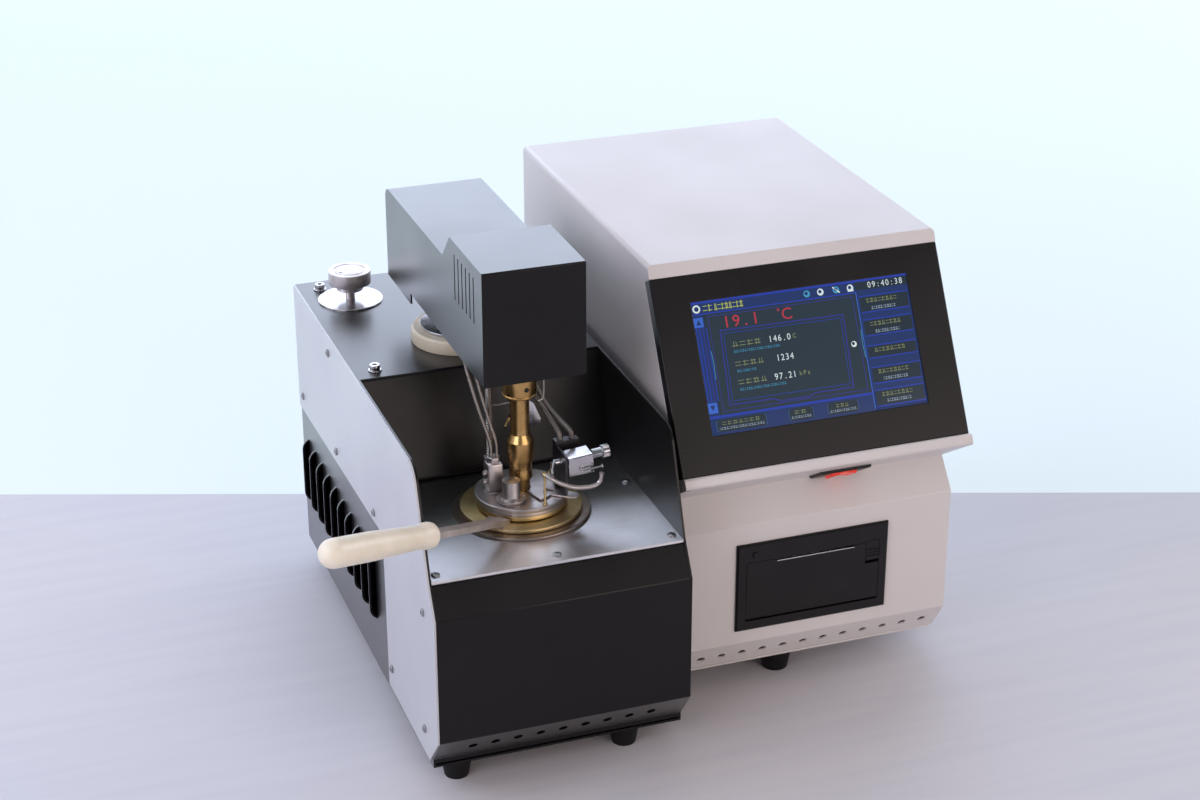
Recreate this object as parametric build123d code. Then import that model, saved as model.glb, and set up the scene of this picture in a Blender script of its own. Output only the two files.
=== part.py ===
from build123d import *
import math
import os

# Bench flash point tester: a closed cup test module with a lifting arm, bolted to a control box.
# X runs along the front, Y to the rear and Z up. x = 0 is the right face of the test module,
# y = 0 the front edge of its deck and z = 0 the underside of both casings. All sizes in mm.

# ---- Driving dimensions: sheet metal and general fits
sheet = 1.5                # casing sheet
trim_sheet = 1.2           # light trim plate on the left side
arm_sheet = 1.2
deck_sheet = 2.0
bend = 0.8                 # inner radius of a fold
flange = 14.0              # fold-over width of the tray edges
side_gap = 0.3             # running clearance between parts that move apart
pin_fit = 0.06             # radial clearance of a pin in its bore
screw_fit = 0.1            # radial clearance of a screw in its hole

# ---- Driving dimensions: test module casing
module_width = 170.0
module_depth = 341.0
housing_top = 204.0
deck_top = 136.0
wall_foot = 134.0          # y where the bay's rear wall meets the deck
wall_head = 160.0          # y where it meets the housing top
wing_front = 25.4          # y of the rounded upper front corner of the side wings
wing_round = 15.0
apron_front = -12.7        # y of the front face
apron_top = 114.4          # z where the slope up to the deck starts
chamfer_top = 27.4         # z where the vented chamfer starts
lip_front = 3.6            # y of the lowest front edge
lip_height = 5.9
front_flange = 30.0        # depth of the folds at the top and foot of the front
vent_diameter = 6.0
module_vents = 9
module_vent_margin = 22.5  # from the middle of an end vent to the side panel

# ---- Driving dimensions: side panel louvres and trim plate
louvre_count = 10
louvre_pitch = 20.8
louvre_first = module_depth - 18.0   # y of the open edge of the rearmost louvre
louvre_low = 38.0
louvre_high = 88.0
louvre_ball = 9.0          # radius of the press tool
louvre_rise = 5.0
trim_line_rear = 109.0     # z of the lower trim edge at the rear
trim_line_front = 116.5
trim_inner = 105.0         # y of the rear edge of the trim's front leg
trim_foot = 3.5
trim_round = 8.0
trim_screws = [(module_depth - 101.8, housing_top - 12.3), (module_depth - 13.3, trim_line_rear + 12.4),
               (module_depth - 112.6, 121.8), (128.0, 122.7), (12.1, 109.4), (95.6, 21.5), (16.6, 22.0)]
deck_screws = [(7.5 - module_width, 8.0), (1.6 - module_width / 2, 8.0), (-6.7, 8.0), (-7.0, 89.4)]
screw_head = 2.8           # radius of a pan head
screw_shank = 1.5
screw_rise = 1.5
screw_reach = 5.0          # length of the shank under the head

# ---- Driving dimensions: heating bath and test cup
cup_x = -module_width / 2
cup_y = 75.0
ring_radius = 45.0
ring_rise = 2.1
spigot_radius = 31.0
well_radius = 28.5
block_radius = 44.0
block_height = 54.0
block_base = 5.0           # floor thickness under the well
cup_bore = 25.4            # inner radius
cup_wall = 1.6
cup_depth = 55.9
cup_floor = 2.6
cup_upstand = 6.3          # height of the rim above the flange
cup_flange_radius = 39.7
cup_flange = 2.8
lid_gap = 0.3              # between the cup and the resting lid

# ---- Driving dimensions: cup handle
handle_yaw = 218.0         # direction of the bar, degrees from +X
handle_rise = 17.7         # degrees
handle_root = 33.0         # distance of the bar's inner end from the cup axis
handle_side = 232.5        # its direction from the cup axis, degrees
bar_width = 8.0
bar_height = 4.0
bar_length = 82.0          # from the foot to the grip, along the slope
grip_length = 106.7
grip_radius = 8.9
grip_neck = 7.3
grip_collar = 8.4
tang_length = 40.0

# ---- Driving dimensions: lid and what stands on it
lid_radius = 30.3
lid_thick = 3.0
rim_radius = 29.8
rim_wall = 1.6
rim_height = 5.4
shaft_radius = 3.0
shaft_end_gap = 5.4        # between the stirrer and the cup floor
probe_x = cup_x - 17.5
probe_y = cup_y + 2.5
probe_radius = 2.5
probe_depth = 44.5         # of the tip below the cup rim
block_side = 10.0
connector_height = 21.0
port_x = cup_x - 10.7
port_y = cup_y - 13.3
port_radius = 5.8
port_height = 14.2
pilot_x = cup_x + 7.4
pilot_y = cup_y - 27.0
pilot_height = 22.8
shutter_thick = 1.2
shutter_radius = 22.2
shutter_turn = 20.0        # degrees from closed to open
window_radius = 19.0       # of the middle of the flame port
window_angle = -57.0
window_size = 6.0
lever_angle = -38.0
lever_reach = 39.3
lever_width = 8.0

# ---- Driving dimensions: igniter
pivot_x = cup_x + 24.5
pivot_y = cup_y - 16.0
pivot_height = 23.7        # above the lid
pivot_tilt = 5.0           # degrees, right end higher
igniter_length = 17.0
igniter_width = 14.0
igniter_height = 13.0
igniter_below = 9.5        # from the pivot down to the underside
nozzle_radius = 1.2
nozzle_reach = 11.5
nozzle_side = 13.5         # from the pivot plate to the nozzle, along the pivot
needle_radius = 3.0
needle_cap = 4.25
bracket_sheet = 1.5
manifold_gap = 12.6        # from the pivot to the front of the manifold
manifold_depth = 6.0
manifold_below = 4.5       # from the pivot down to its underside
manifold_height = 12.0

# ---- Driving dimensions: stirrer drive and arm
column_base_radius = 6.0
column_base_height = 9.4
column_waist_radius = 7.8
column_waist_height = 12.6
column_collar_radius = 8.7
column_collar_height = 13.1
column_neck_radius = 6.2
column_neck_height = 26.7
column_cone_height = 5.1
column_head_radius = 11.0
arm_width = 67.0
arm_front = 42.0
arm_rear = 266.0
arm_low = 240.7            # z of the lower edge
skirt_low = 233.0          # z of the lower edge at the rear
skirt_front = 208.0
arm_top = 298.0
head_top = 316.0
head_rear = 110.4
step_rear = 127.0
arm_corner = 8.0
slot_count = 6
slot_pitch = 8.1
slot_first = 100.0
slot_low = 277.4
slot_high = 307.7
slot_width = 1.6
frame_low = 244.0
frame_thick = 6.0
motor_radius = 18.5
motor_length = 50.0

# ---- Driving dimensions: arm lift
lift_y = 208.0
tube_radius = 10.0
tube_bore = 7.0
tube_bottom = 70.0
nut_height = 15.0
lift_screw_radius = 6.0
lift_screw_top = 190.0
lift_motor_size = 56.0
bearing_radius = 33.0
bearing_thick = 10.0
sleeve_radius = 16.0
sleeve_length = 40.0
clamp_radius = 26.5
clamp_thick = 2.0

# ---- Driving dimensions: gas valve and fan
valve_x = 32.0 - module_width
valve_y = module_depth - 41.0
escutcheon_radius = 23.0
escutcheon_thick = 1.2
stem_radius = 3.35
knob_boss_radius = 9.5
knob_boss_low = 212.0
knob_cap_radius = 15.0
knob_cap_low = 217.0
knob_top = 226.5
barb_length = 18.0         # of the hose tail behind the rear panel
barb_radius = 4.0
barb_z = 180.0
fan_x = -50.0
fan_z = 120.0
fan_size = 60.0
fan_depth = 25.0
fan_bore = 28.0
fan_hub = 12.0
fan_spoke = 4.0
fan_blade = 16.0

# ---- Driving dimensions: control box
box_left = 7.2
box_width = 204.6
box_rear = 346.0
box_top = 287.0
box_top_front = 91.2       # y of the front edge of the top
box_corner = 3.0
screen_top_y = 87.4
screen_top_z = 278.7
screen_low_y = 24.5
screen_low_z = 165.2
frame_depth = 9.0
lip_out = 3.9              # the lip's reach in front of the screen frame
lip_foot_y = 17.7
lip_foot_z = 160.3
eave_y = 59.8
eave_z = 133.5
face_y = 43.85             # y of the vertical front
face_top = 113.5
face_low = 23.9
box_lip = 59.2
box_flange = 24.0
box_vents = 12
box_vent_margin = 19.25    # from the middle of an end vent to the side, before the shift
box_vent_shift = 6.8
screen_left = 32.6
screen_right = 186.7
screen_start = 0.14        # share of the slope above the window
screen_height = 87.0
rocker_x = box_left + 123.3
rocker_slope = 38.0        # distance of the switch from the lip along the underside
bezel_length = 37.0
bezel_width = 20.0
bezel_rise = 2.0
rocker_half = 9.5
rocker_width = 15.0

# ---- Driving dimensions: printer
printer_left = 54.2
printer_right = 164.9
printer_low = 34.4
printer_high = 99.4
printer_rise = 2.5
printer_depth = 50.0
printer_wall = 2.4
door_left = 61.0
door_right = 158.6
door_low = 41.5
door_high = 86.0
door_thick = 2.5
latch_left = 148.3
latch_low = 70.0
latch_travel = 2.0
button_x = 67.5
button_z = 91.2
button_radius = 2.4
button_travel = 1.0
roll_radius = 18.0
roll_left = 83.0
roll_width = 57.0
roll_y = 66.0
roll_z = 62.5
spindle_radius = 4.0

# ---- Driving dimensions: power supply and main board
supply_inset = 16.8        # from the right side of the control box
supply_width = 75.0
supply_front = 180.0
supply_depth = 140.0
supply_height = 42.0
supply_pitch = 12.0
board_inset = 12.8         # from the left side of the control box
board_gap = 15.0           # between the board and the power supply
board_front = 150.0
board_depth = 150.0
board_rise = 10.0
board_thick = 1.6

# ---- Driving dimensions: feet and spacers
foot_height = 16.0
foot_top = 10.0
foot_bottom = 7.5
module_feet = [(x, y) for y in (17.0, module_depth - 21.0) for x in (20.0 - module_width, -35.0)]
box_feet = [(97.5, 72.0), (box_left + 20.8, box_rear - 26.0), (box_left + box_width - 21.8, box_rear - 26.0)]
spacer_radius = 8.0
spacer_spots = [(82.0, 60.0), (module_depth - 41.0, 60.0), (200.0, 180.0), (module_depth - 41.0, 180.0)]

# ---- Places that follow from the sizes above
left_face = -module_width
panel_left = left_face + trim_sheet
inner_left = panel_left + sheet
inner_right = -sheet
inner_span = (inner_left, inner_right)
box_right = box_left + box_width
box_inner = (box_left + sheet, box_right - sheet)
deck_under = deck_top - deck_sheet
ring_top = deck_top + ring_rise
flange_low = ring_top + lid_gap
flange_top = flange_low + cup_flange
cup_rim = flange_top + cup_upstand
lid_low = cup_rim + lid_gap
lid_top = lid_low + lid_thick
cup_bottom = cup_rim - cup_depth
shaft_bottom = cup_bottom + shaft_end_gap
probe_bottom = cup_rim - probe_depth
pilot_top = lid_top + pilot_height
pivot_z = lid_top + pivot_height
manifold_low = pivot_z - manifold_below
manifold_high = manifold_low + manifold_height
block_floor = deck_under - block_height
arm_left = cup_x - arm_width / 2
arm_right = cup_x + arm_width / 2
slope_length = math.dist((screen_top_y, screen_top_z), (screen_low_y, screen_low_z))
slope_y = (screen_low_y - screen_top_y) / slope_length
slope_z = (screen_low_z - screen_top_z) / slope_length
under_length = math.dist((lip_foot_y, lip_foot_z), (eave_y, eave_z))
under_y = (eave_y - lip_foot_y) / under_length
under_z = (eave_z - lip_foot_z) / under_length

nodes = {}


# ---- Shared shapes
def block(x, y, z):
    """A box between the limits given for each axis."""
    size = [high - low for low, high in (x, y, z)]
    middle = [(high + low) / 2 for low, high in (x, y, z)]
    return Pos(*middle) * Box(*size)


def rod(start, end, radius):
    """A round bar from one point to another."""
    axis = Vector(*end) - Vector(*start)
    return extrude(Plane(origin=start, z_dir=axis) * Circle(radius), axis.length)


def upright(x, y, low, high, radius):
    """A vertical round bar."""
    return rod((x, y, low), (x, y, high), radius)


def turned(x, y, outline):
    """A body of revolution about a vertical axis, from (radius, z) points."""
    points = [(radius, 0, z) for radius, z in outline]
    return Pos(x, y, 0) * revolve(make_face(Polyline(*points, close=True)), Axis.Z)


def ring(x, y, low, high, outer, inner):
    """A flat ring or tube with a vertical axis."""
    return turned(x, y, [(inner, low), (outer, low), (outer, high), (inner, high)])


def side_cut(points, span):
    """A YZ outline extruded between two X limits."""
    face = make_face(Polyline(*[(span[0], y, z) for y, z in points], close=True))
    return extrude(face, span[1] - span[0], dir=(1, 0, 0))


def offset_line(points, distance):
    """The line at a distance to the left of an open line, with mitred corners."""
    normals = []
    for (y0, z0), (y1, z1) in zip(points, points[1:]):
        length = math.dist((y0, z0), (y1, z1))
        normals.append(((z0 - z1) / length, (y1 - y0) / length))
    shifted = []
    for index, (y, z) in enumerate(points):
        before = normals[max(index - 1, 0)]
        after = normals[min(index, len(normals) - 1)]
        share = distance / (1 + before[0] * after[0] + before[1] * after[1])
        shifted.append((y + share * (before[0] + after[0]), z + share * (before[1] + after[1])))
    return shifted


def folded_sheet(line, thickness, span):
    """A sheet folded along a YZ line, thickened to its left and as wide as the X span."""
    inner = offset_line(line, thickness)
    near, far = [], []
    for (y0, z0), (y1, z1), (y2, z2) in zip(line, line[1:], line[2:]):
        left_turn = (y1 - y0) * (z2 - z1) - (z1 - z0) * (y2 - y1) > 0
        near.append(bend + thickness if left_turn else bend)
        far.append(bend if left_turn else bend + thickness)
    edges = []
    for points, radii in ((line, near), (inner, far)):
        edges += FilletPolyline(*[(span[0], y, z) for y, z in points], radius=radii).edges()
    for end in (0, -1):
        edges.append(Line((span[0], *line[end]), (span[0], *inner[end])).edge())
    return extrude(make_face(edges), span[1] - span[0], dir=(1, 0, 0))


def tube_path(points, radii):
    """Straight runs joined by tangent arcs."""
    return FilletPolyline(*points, radius=radii)


def bent_tube(points, radii, radius):
    """A round bar along a bent path."""
    path = tube_path(points, radii)
    start = Plane(origin=path @ 0, z_dir=path % 0)
    return sweep(start * Circle(radius), path=path)


def soft_radii(points):
    """Arcs as large as the runs beside each corner allow."""
    radii = []
    for a, b, c in zip(points, points[1:], points[2:]):
        first = Vector(*b) - Vector(*a)
        second = Vector(*c) - Vector(*b)
        turn = math.radians(first.get_angle(second))
        radii.append(0.45 * min(first.length, second.length) / math.tan(turn / 2))
    return radii


def keep(name, *solids):
    """File the solids of one sub-part under its name."""
    nodes[name] = Compound([item for solid in solids for item in solid.solids()])


# ---- Test module: folded casing
def front_line():
    """Outer line of the front sheet from its upper fold to its foot."""
    return [(front_flange, deck_under), (0, deck_under), (apron_front, apron_top),
            (apron_front, chamfer_top), (lip_front, lip_height), (lip_front, sheet),
            (front_flange, sheet)]


def wing_line():
    """Outline of a side panel, with the falling front edge of the wing."""
    return [(module_depth, 0), (module_depth, housing_top), (wing_front, housing_top), (0, deck_top),
            (apron_front, apron_top), (apron_front, chamfer_top), (lip_front, lip_height), (lip_front, 0)]


def rounded_corner(body, corner, radius):
    """A side sheet with its corner at a YZ point rounded."""
    edges = body.edges().filter_by(Axis.X)
    near = edges.sort_by(lambda edge: math.dist((edge.center().Y, edge.center().Z), corner))[0]
    return fillet(near, radius)


def wing_sheet(line, span):
    """A side sheet with the rounded upper corner of the wing."""
    return rounded_corner(side_cut(line, span), (wing_front, housing_top), wing_round)


def chamfer_holes(top, foot, first, last, count):
    """Drills for a row of vents in the middle of a chamfer."""
    middle_y = (top[0] + foot[0]) / 2
    middle_z = (top[1] + foot[1]) / 2
    run = math.dist(top, foot)
    out = Vector(0, -(top[1] - foot[1]) / run, -(foot[0] - top[0]) / run)
    drills = []
    for index in range(count):
        centre = Vector(first + index * (last - first) / (count - 1), middle_y, middle_z)
        drills.append(rod(centre - out * 3 * sheet, centre + out * 3 * sheet, vent_diameter / 2))
    return drills


def deck_hole(x, y, low):
    """A drill for one deck screw."""
    return upright(x, y, low, deck_top + 1, screw_shank + screw_fit)


def make_front_panel():
    body = folded_sheet(front_line(), sheet, inner_span)
    ends = inner_left + module_vent_margin, inner_right - module_vent_margin
    body -= chamfer_holes((apron_front, chamfer_top), (lip_front, lip_height), *ends, module_vents)
    body -= [deck_hole(x, y, deck_under - 2 * sheet) for x, y in deck_screws]
    keep("front_panel", body)


def make_base_tray():
    rear = module_depth - sheet
    body = block(inner_span, (lip_front, rear), (0, sheet))
    side = (front_flange + side_gap, rear)
    body += block((inner_left, inner_left + sheet), side, (0, flange))
    body += block((inner_right - sheet, inner_right), side, (0, flange))
    body += block(inner_span, (rear - sheet, rear), (0, flange))
    keep("base_tray", body)


def make_deck_plate():
    body = block(inner_span, (0, wall_foot + flange), (deck_under, deck_top))
    body -= upright(cup_x, cup_y, deck_under, deck_top, spigot_radius)
    body -= [deck_hole(x, y, deck_under - 1) for x, y in deck_screws]
    keep("deck_plate", body)


def make_housing_cover():
    line = [(module_depth, housing_top), (wall_head, housing_top), (wall_foot, deck_top),
            (wall_foot + flange, deck_top)]
    body = folded_sheet(line, sheet, inner_span)
    low = housing_top - 2 * sheet
    high = housing_top + 1
    body -= upright(cup_x, lift_y, low, high, sleeve_radius)
    body -= upright(valve_x, valve_y, low, high, stem_radius + 3 * sheet)
    for x, y in cap_spots():
        body -= upright(x, y, low, high, screw_shank + screw_fit)
    keep("housing_cover", body)


def cap_spots():
    """Places of the four cap screws on the housing top."""
    inset = 15.9
    return [(x, y) for x in (left_face + inset, -inset) for y in (wall_head + 12.7, module_depth - inset)]


def trim_drills():
    """Drills for the trim screws through the trim and the panel."""
    reach = left_face + trim_sheet + sheet + 1
    return [rod((left_face - 1, y, z), (reach, y, z), screw_shank + screw_fit) for y, z in trim_screws]


def louvre_tool(radius):
    """The row of round-ended press tools that raise the louvres."""
    axis_x = panel_left + louvre_ball - louvre_rise
    chord = math.sqrt(louvre_ball ** 2 - (louvre_ball - louvre_rise) ** 2)
    tools = []
    for index in range(louvre_count):
        y = louvre_first - index * louvre_pitch
        low, high = louvre_low + chord, louvre_high - chord
        tool = rod((axis_x, y, low), (axis_x, y, high), radius)
        tool += Pos(axis_x, y, low) * Sphere(radius)
        tool += Pos(axis_x, y, high) * Sphere(radius)
        tools.append(tool & block((axis_x - radius, axis_x), (y, y + radius), (0, deck_top)))
    return tools


def make_left_side_panel():
    body = wing_sheet(wing_line(), (panel_left, inner_left))
    outside = block((left_face - louvre_rise, panel_left), (0, module_depth), (0, deck_top))
    for outer, inner in zip(louvre_tool(louvre_ball), louvre_tool(louvre_ball - sheet)):
        body += outer & outside
        body -= inner
    body -= trim_drills()
    keep("left_side_panel", body)


def make_right_side_panel():
    body = wing_sheet(wing_line(), (-sheet, 0))
    for y, z in spacer_spots:
        body -= rod((-sheet - 1, y, z), (1, y, z), screw_shank + screw_fit)
    keep("right_side_panel", body)


def make_side_trim_plate():
    upper = (trim_inner + 2, trim_line_front)
    line = [(module_depth, trim_line_rear), (module_depth, housing_top)] + wing_line()[2:-2]
    line += [(lip_front + 1.5, lip_height + 1), (lip_front + 4, trim_foot)]
    line += [(trim_inner, trim_foot + 1), upper]
    body = rounded_corner(wing_sheet(line, (left_face, panel_left)), upper, trim_round)
    body -= trim_drills()
    keep("side_trim_plate", body)


def make_rear_panel():
    rear = (module_depth - sheet, module_depth)
    body = block(inner_span, rear, (0, housing_top - sheet))
    body -= rod((fan_x, rear[0] - 1, fan_z), (fan_x, rear[1] + 1, fan_z), fan_bore)
    for radius in (8.0, 16.0, 24.0):
        grille = Plane(origin=(fan_x, rear[0], fan_z), z_dir=(0, 1, 0))
        body += extrude(grille * (Circle(radius + 1) - Circle(radius - 1)), sheet)
    for turn in (45, 135):
        bar = block((-fan_bore - 0.5, fan_bore + 0.5), rear, (-1.2, 1.2))
        body += Pos(fan_x, 0, fan_z) * Rot(0, turn, 0) * bar
    body -= rod((valve_x, rear[0] - 1, barb_z), (valve_x, rear[1] + 1, barb_z), barb_radius + side_gap)
    keep("rear_panel", body)


def pan_screw():
    """A pan head screw on +Z with a cross recess, its head resting on z = 0."""
    head = turned(0, 0, [(0, 0), (screw_head, 0), (screw_head, 0.6 * screw_rise),
                         (0.6 * screw_head, screw_rise), (0, screw_rise)])
    for turn in (0, 90):
        slot = block((-0.55 * screw_head, 0.55 * screw_head), (-0.35, 0.35), (0.5 * screw_rise, 2))
        head -= Rot(0, 0, turn) * slot
    return head + upright(0, 0, -screw_reach, 0, screw_shank)


def make_pan_screws():
    screws = [Pos(left_face, y, z) * Rot(0, -90, 0) * pan_screw() for y, z in trim_screws]
    screws += [Pos(x, y, deck_top) * pan_screw() for x, y in deck_screws]
    keep("pan_screws", *screws)


def make_cap_screws():
    parts = []
    for x, y in cap_spots():
        washer = ring(x, y, housing_top, housing_top + 1, 4.5, screw_shank + screw_fit)
        head = upright(x, y, housing_top + 1, housing_top + 4.5, 3.5)
        head += upright(x, y, housing_top - screw_reach, housing_top + 1, screw_shank)
        socket = extrude(Plane(origin=(x, y, housing_top + 2)) * RegularPolygon(1.7, 6), 3)
        parts += [washer, head - socket]
    keep("cap_screws", *parts)


# ---- Heating bath
def make_bath():
    body = ring(cup_x, cup_y, deck_top, ring_top, ring_radius, well_radius)
    body += ring(cup_x, cup_y, deck_under, deck_top, spigot_radius, well_radius)
    keep("bath_ring", body)
    well_floor = block_floor + block_base
    keep("bath_block", turned(cup_x, cup_y, [
        (0, block_floor), (block_radius, block_floor), (block_radius, deck_under),
        (well_radius, deck_under), (well_radius, well_floor), (0, well_floor)]))


# ---- Arm lift, gas valve and fan inside the housing
def make_lift():
    top = sheet + lift_motor_size
    half = lift_motor_size / 2
    motor = block((cup_x - half, cup_x + half), (lift_y - half, lift_y + half), (sheet, top))
    motor = fillet(motor.edges().filter_by(Axis.Z), 4)
    motor -= upright(cup_x, lift_y, top - 20, top, lift_screw_radius + pin_fit)
    keep("lift_motor", motor)
    keep("lift_screw", upright(cup_x, lift_y, top - 19, lift_screw_top, lift_screw_radius))
    nut_bore = lift_screw_radius + side_gap
    nut_top = tube_bottom + nut_height
    keep("lift_tube", turned(cup_x, lift_y, [
        (nut_bore, tube_bottom), (tube_radius, tube_bottom), (tube_radius, frame_low),
        (0, frame_low), (0, frame_low - 6), (tube_bore, frame_low - 6), (tube_bore, nut_top),
        (nut_bore, nut_top)]))
    guide = tube_radius + pin_fit
    bearing = turned(cup_x, lift_y, [
        (guide, housing_top - sleeve_length), (sleeve_radius, housing_top - sleeve_length),
        (sleeve_radius, housing_top), (bearing_radius, housing_top),
        (bearing_radius, housing_top + bearing_thick - 1.5),
        (bearing_radius - 1.5, housing_top + bearing_thick), (guide, housing_top + bearing_thick)])
    notch_angle = math.radians(150)
    notch_x = cup_x + bearing_radius * math.cos(notch_angle)
    notch_y = lift_y + bearing_radius * math.sin(notch_angle)
    bearing -= upright(notch_x, notch_y, housing_top + bearing_thick - 4, housing_top + bearing_thick, 4.5)
    keep("bearing_flange", bearing)
    plate_low = housing_top + bearing_thick
    plate = ring(cup_x, lift_y, plate_low, plate_low + clamp_thick, clamp_radius, guide)
    for index in range(4):
        angle = math.radians(205 + 90 * index)
        x, y = cup_x + 20.5 * math.cos(angle), lift_y + 20.5 * math.sin(angle)
        plate -= upright(x, y, plate_low, plate_low + clamp_thick, 2)
    keep("clamp_plate", plate)


def make_gas_valve():
    neck = stem_radius + 3 * sheet
    top = housing_top + escutcheon_thick
    under = housing_top - sheet
    body = upright(valve_x, valve_y, barb_z - 12, under, 12)
    body += upright(valve_x, valve_y, under, top, neck)
    barb_end = module_depth + barb_length
    body += rod((valve_x, valve_y, barb_z), (valve_x, barb_end, barb_z), barb_radius)
    body = chamfer(body.edges().group_by(Axis.Y)[-1], 0.5)
    body += rod((valve_x, module_depth, barb_z), (valve_x, module_depth + 3, barb_z), barb_radius + 3)
    body -= upright(valve_x, valve_y, barb_z + 5, top, stem_radius + pin_fit)
    disc = ring(valve_x, valve_y, housing_top, top, escutcheon_radius, neck)
    disc = fillet(disc.edges().group_by(Axis.Z)[-1].sort_by(SortBy.RADIUS)[-1], 0.5)
    keep("gas_valve", body, disc)
    knob = turned(valve_x, valve_y, [
        (0, barb_z + 6), (stem_radius, barb_z + 6), (stem_radius, knob_boss_low),
        (knob_boss_radius, knob_boss_low), (knob_boss_radius, knob_cap_low),
        (knob_cap_radius, knob_cap_low), (knob_cap_radius, knob_top - 1),
        (knob_cap_radius - 1, knob_top), (11.2, knob_top), (11.2, knob_top - 0.5),
        (10.4, knob_top - 0.5), (10.4, knob_top), (0, knob_top)])
    knob -= upright(valve_x - 7, valve_y - 3, knob_top - 0.6, knob_top, 1.1)
    keep("gas_knob", knob)


def make_fan():
    rear = module_depth - sheet
    front = rear - fan_depth
    half = fan_size / 2
    frame = block((fan_x - half, fan_x + half), (front, rear), (fan_z - half, fan_z + half))
    frame -= rod((fan_x, front, fan_z), (fan_x, rear, fan_z), fan_bore)
    hub = rod((fan_x, front, fan_z), (fan_x, front + fan_spoke, fan_z), fan_hub)
    for turn in range(0, 360, 90):
        half_spoke = fan_spoke / 2
        spoke = block((fan_hub - 2, fan_bore + 1), (front, front + fan_spoke), (-half_spoke, half_spoke))
        hub += Pos(fan_x, 0, fan_z) * Rot(0, turn, 0) * spoke
    frame += hub
    frame -= rod((fan_x, front, fan_z), (fan_x, front + fan_spoke, fan_z), 2 + pin_fit)
    keep("fan_frame", frame)
    blades = (front + fan_spoke + 1, rear - 3)
    rotor = rod((fan_x, blades[0], fan_z), (fan_x, blades[1], fan_z), fan_hub - 1)
    rotor += rod((fan_x, front + 1, fan_z), (fan_x, blades[0], fan_z), 2)
    for turn in range(0, 360, 60):
        reach = fan_bore - 2 - fan_hub + 3
        blade = Box(reach, fan_blade, 1.4)
        blade = Pos(fan_bore - 2 - reach / 2, (blades[0] + blades[1]) / 2, 0) * Rot(35, 0, 0) * blade
        rotor += Pos(fan_x, 0, fan_z) * Rot(0, turn, 0) * blade
    keep("fan_rotor", rotor)


# ---- Test cup, its handle and grip
def make_cup():
    outer = cup_bore + cup_wall
    body = turned(cup_x, cup_y, [
        (0, cup_bottom - cup_floor), (outer, cup_bottom - cup_floor), (outer, flange_low),
        (cup_flange_radius, flange_low), (cup_flange_radius, flange_top - 0.5),
        (cup_flange_radius - 0.5, flange_top), (outer, flange_top), (outer, cup_rim),
        (cup_bore, cup_rim), (cup_bore, cup_bottom), (0, cup_bottom)])
    keep("cup", body)


def make_handle():
    turn = math.radians(handle_side)
    root = cup_x + handle_root * math.cos(turn), cup_y + handle_root * math.sin(turn)
    place = Pos(*root, flange_top) * Rot(0, 0, handle_yaw)
    foot_height = 2.2
    foot = block((-1.5, 6.5), (-11.8, bar_width / 2), (0, foot_height))
    frame = Pos(0, 0, bar_height / 2 + side_gap) * Rot(0, -handle_rise, 0)
    bar_end = bar_length + tang_length
    bar = frame * block((0, bar_end), (-bar_width / 2, bar_width / 2), (-bar_height / 2, bar_height / 2))
    bar -= block((-5, bar_end), (-bar_width, bar_width), (-10, 0))
    handle = foot + bar
    for across in (-9.6, -6.0):
        handle += upright(2.6, across, foot_height, foot_height + 1, 1.5)
    keep("cup_handle", place * handle)
    ball = bar_length + grip_length - grip_radius
    profile = [(bar_length, 0), (bar_length, grip_collar - 1), (bar_length + 1.5, grip_collar),
               (bar_length + 7, grip_collar), (bar_length + 12, grip_neck),
               (bar_length + 60, grip_radius), (ball, grip_radius), (ball, 0)]
    face = make_face(Polyline(*[(x, 0, radius) for x, radius in profile], close=True))
    grip = revolve(face, Axis.X) + Pos(ball, 0, 0) * Sphere(grip_radius)
    tang = block((0, bar_end), (-bar_width / 2, bar_width / 2), (-bar_height / 2, bar_height / 2))
    keep("cup_grip", place * frame * (grip - tang))


# ---- Lid group, carried by the arm
def flame_window(angle, low, high):
    """The square flame opening, turned to an angle about the cup axis."""
    cutter = block((window_radius - window_size / 2, window_radius + window_size / 2),
                   (-window_size / 2, window_size / 2), (low, high))
    return Pos(cup_x, cup_y, 0) * Rot(0, 0, angle) * cutter


def make_lid():
    disc = upright(cup_x, cup_y, lid_low, lid_top, lid_radius)
    disc = fillet(disc.edges().group_by(Axis.Z)[-1], 0.5)
    disc -= upright(cup_x, cup_y, lid_low, lid_top, shaft_radius + side_gap)
    disc -= upright(probe_x, probe_y, lid_low, lid_top, probe_radius)
    disc -= flame_window(window_angle, lid_low, lid_top)
    keep("lid_disc", disc)
    keep("lid_rim", ring(cup_x, cup_y, lid_low - rim_height, lid_low, rim_radius, rim_radius - rim_wall))


def column_outline():
    """Radius and height points of the brass column."""
    base = lid_top + column_base_height
    waist = base + column_waist_height
    collar = waist + column_collar_height
    cone = collar + column_cone_height
    neck = cone + column_neck_height
    return [(column_base_radius, lid_top), (column_base_radius, base), (column_waist_radius, base),
            (column_waist_radius - 0.6, (base + waist) / 2), (column_waist_radius, waist),
            (column_collar_radius, waist), (column_collar_radius, collar), (column_neck_radius, cone),
            (column_neck_radius, neck), (column_head_radius - 0.8, neck),
            (column_head_radius, neck + 0.8), (column_head_radius, frame_low)]


def make_drive_column():
    bore = shaft_radius + side_gap
    body = turned(cup_x, cup_y, column_outline() + [(bore, frame_low), (bore, lid_top)])
    out = Vector(0.75, -0.66, 0)
    centre = Vector(cup_x, cup_y, column_outline()[-2][1] + 6.5)
    body -= rod(centre + out * 5, centre + out * (column_head_radius + 1), 1.5)
    keep("drive_column", body)


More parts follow.
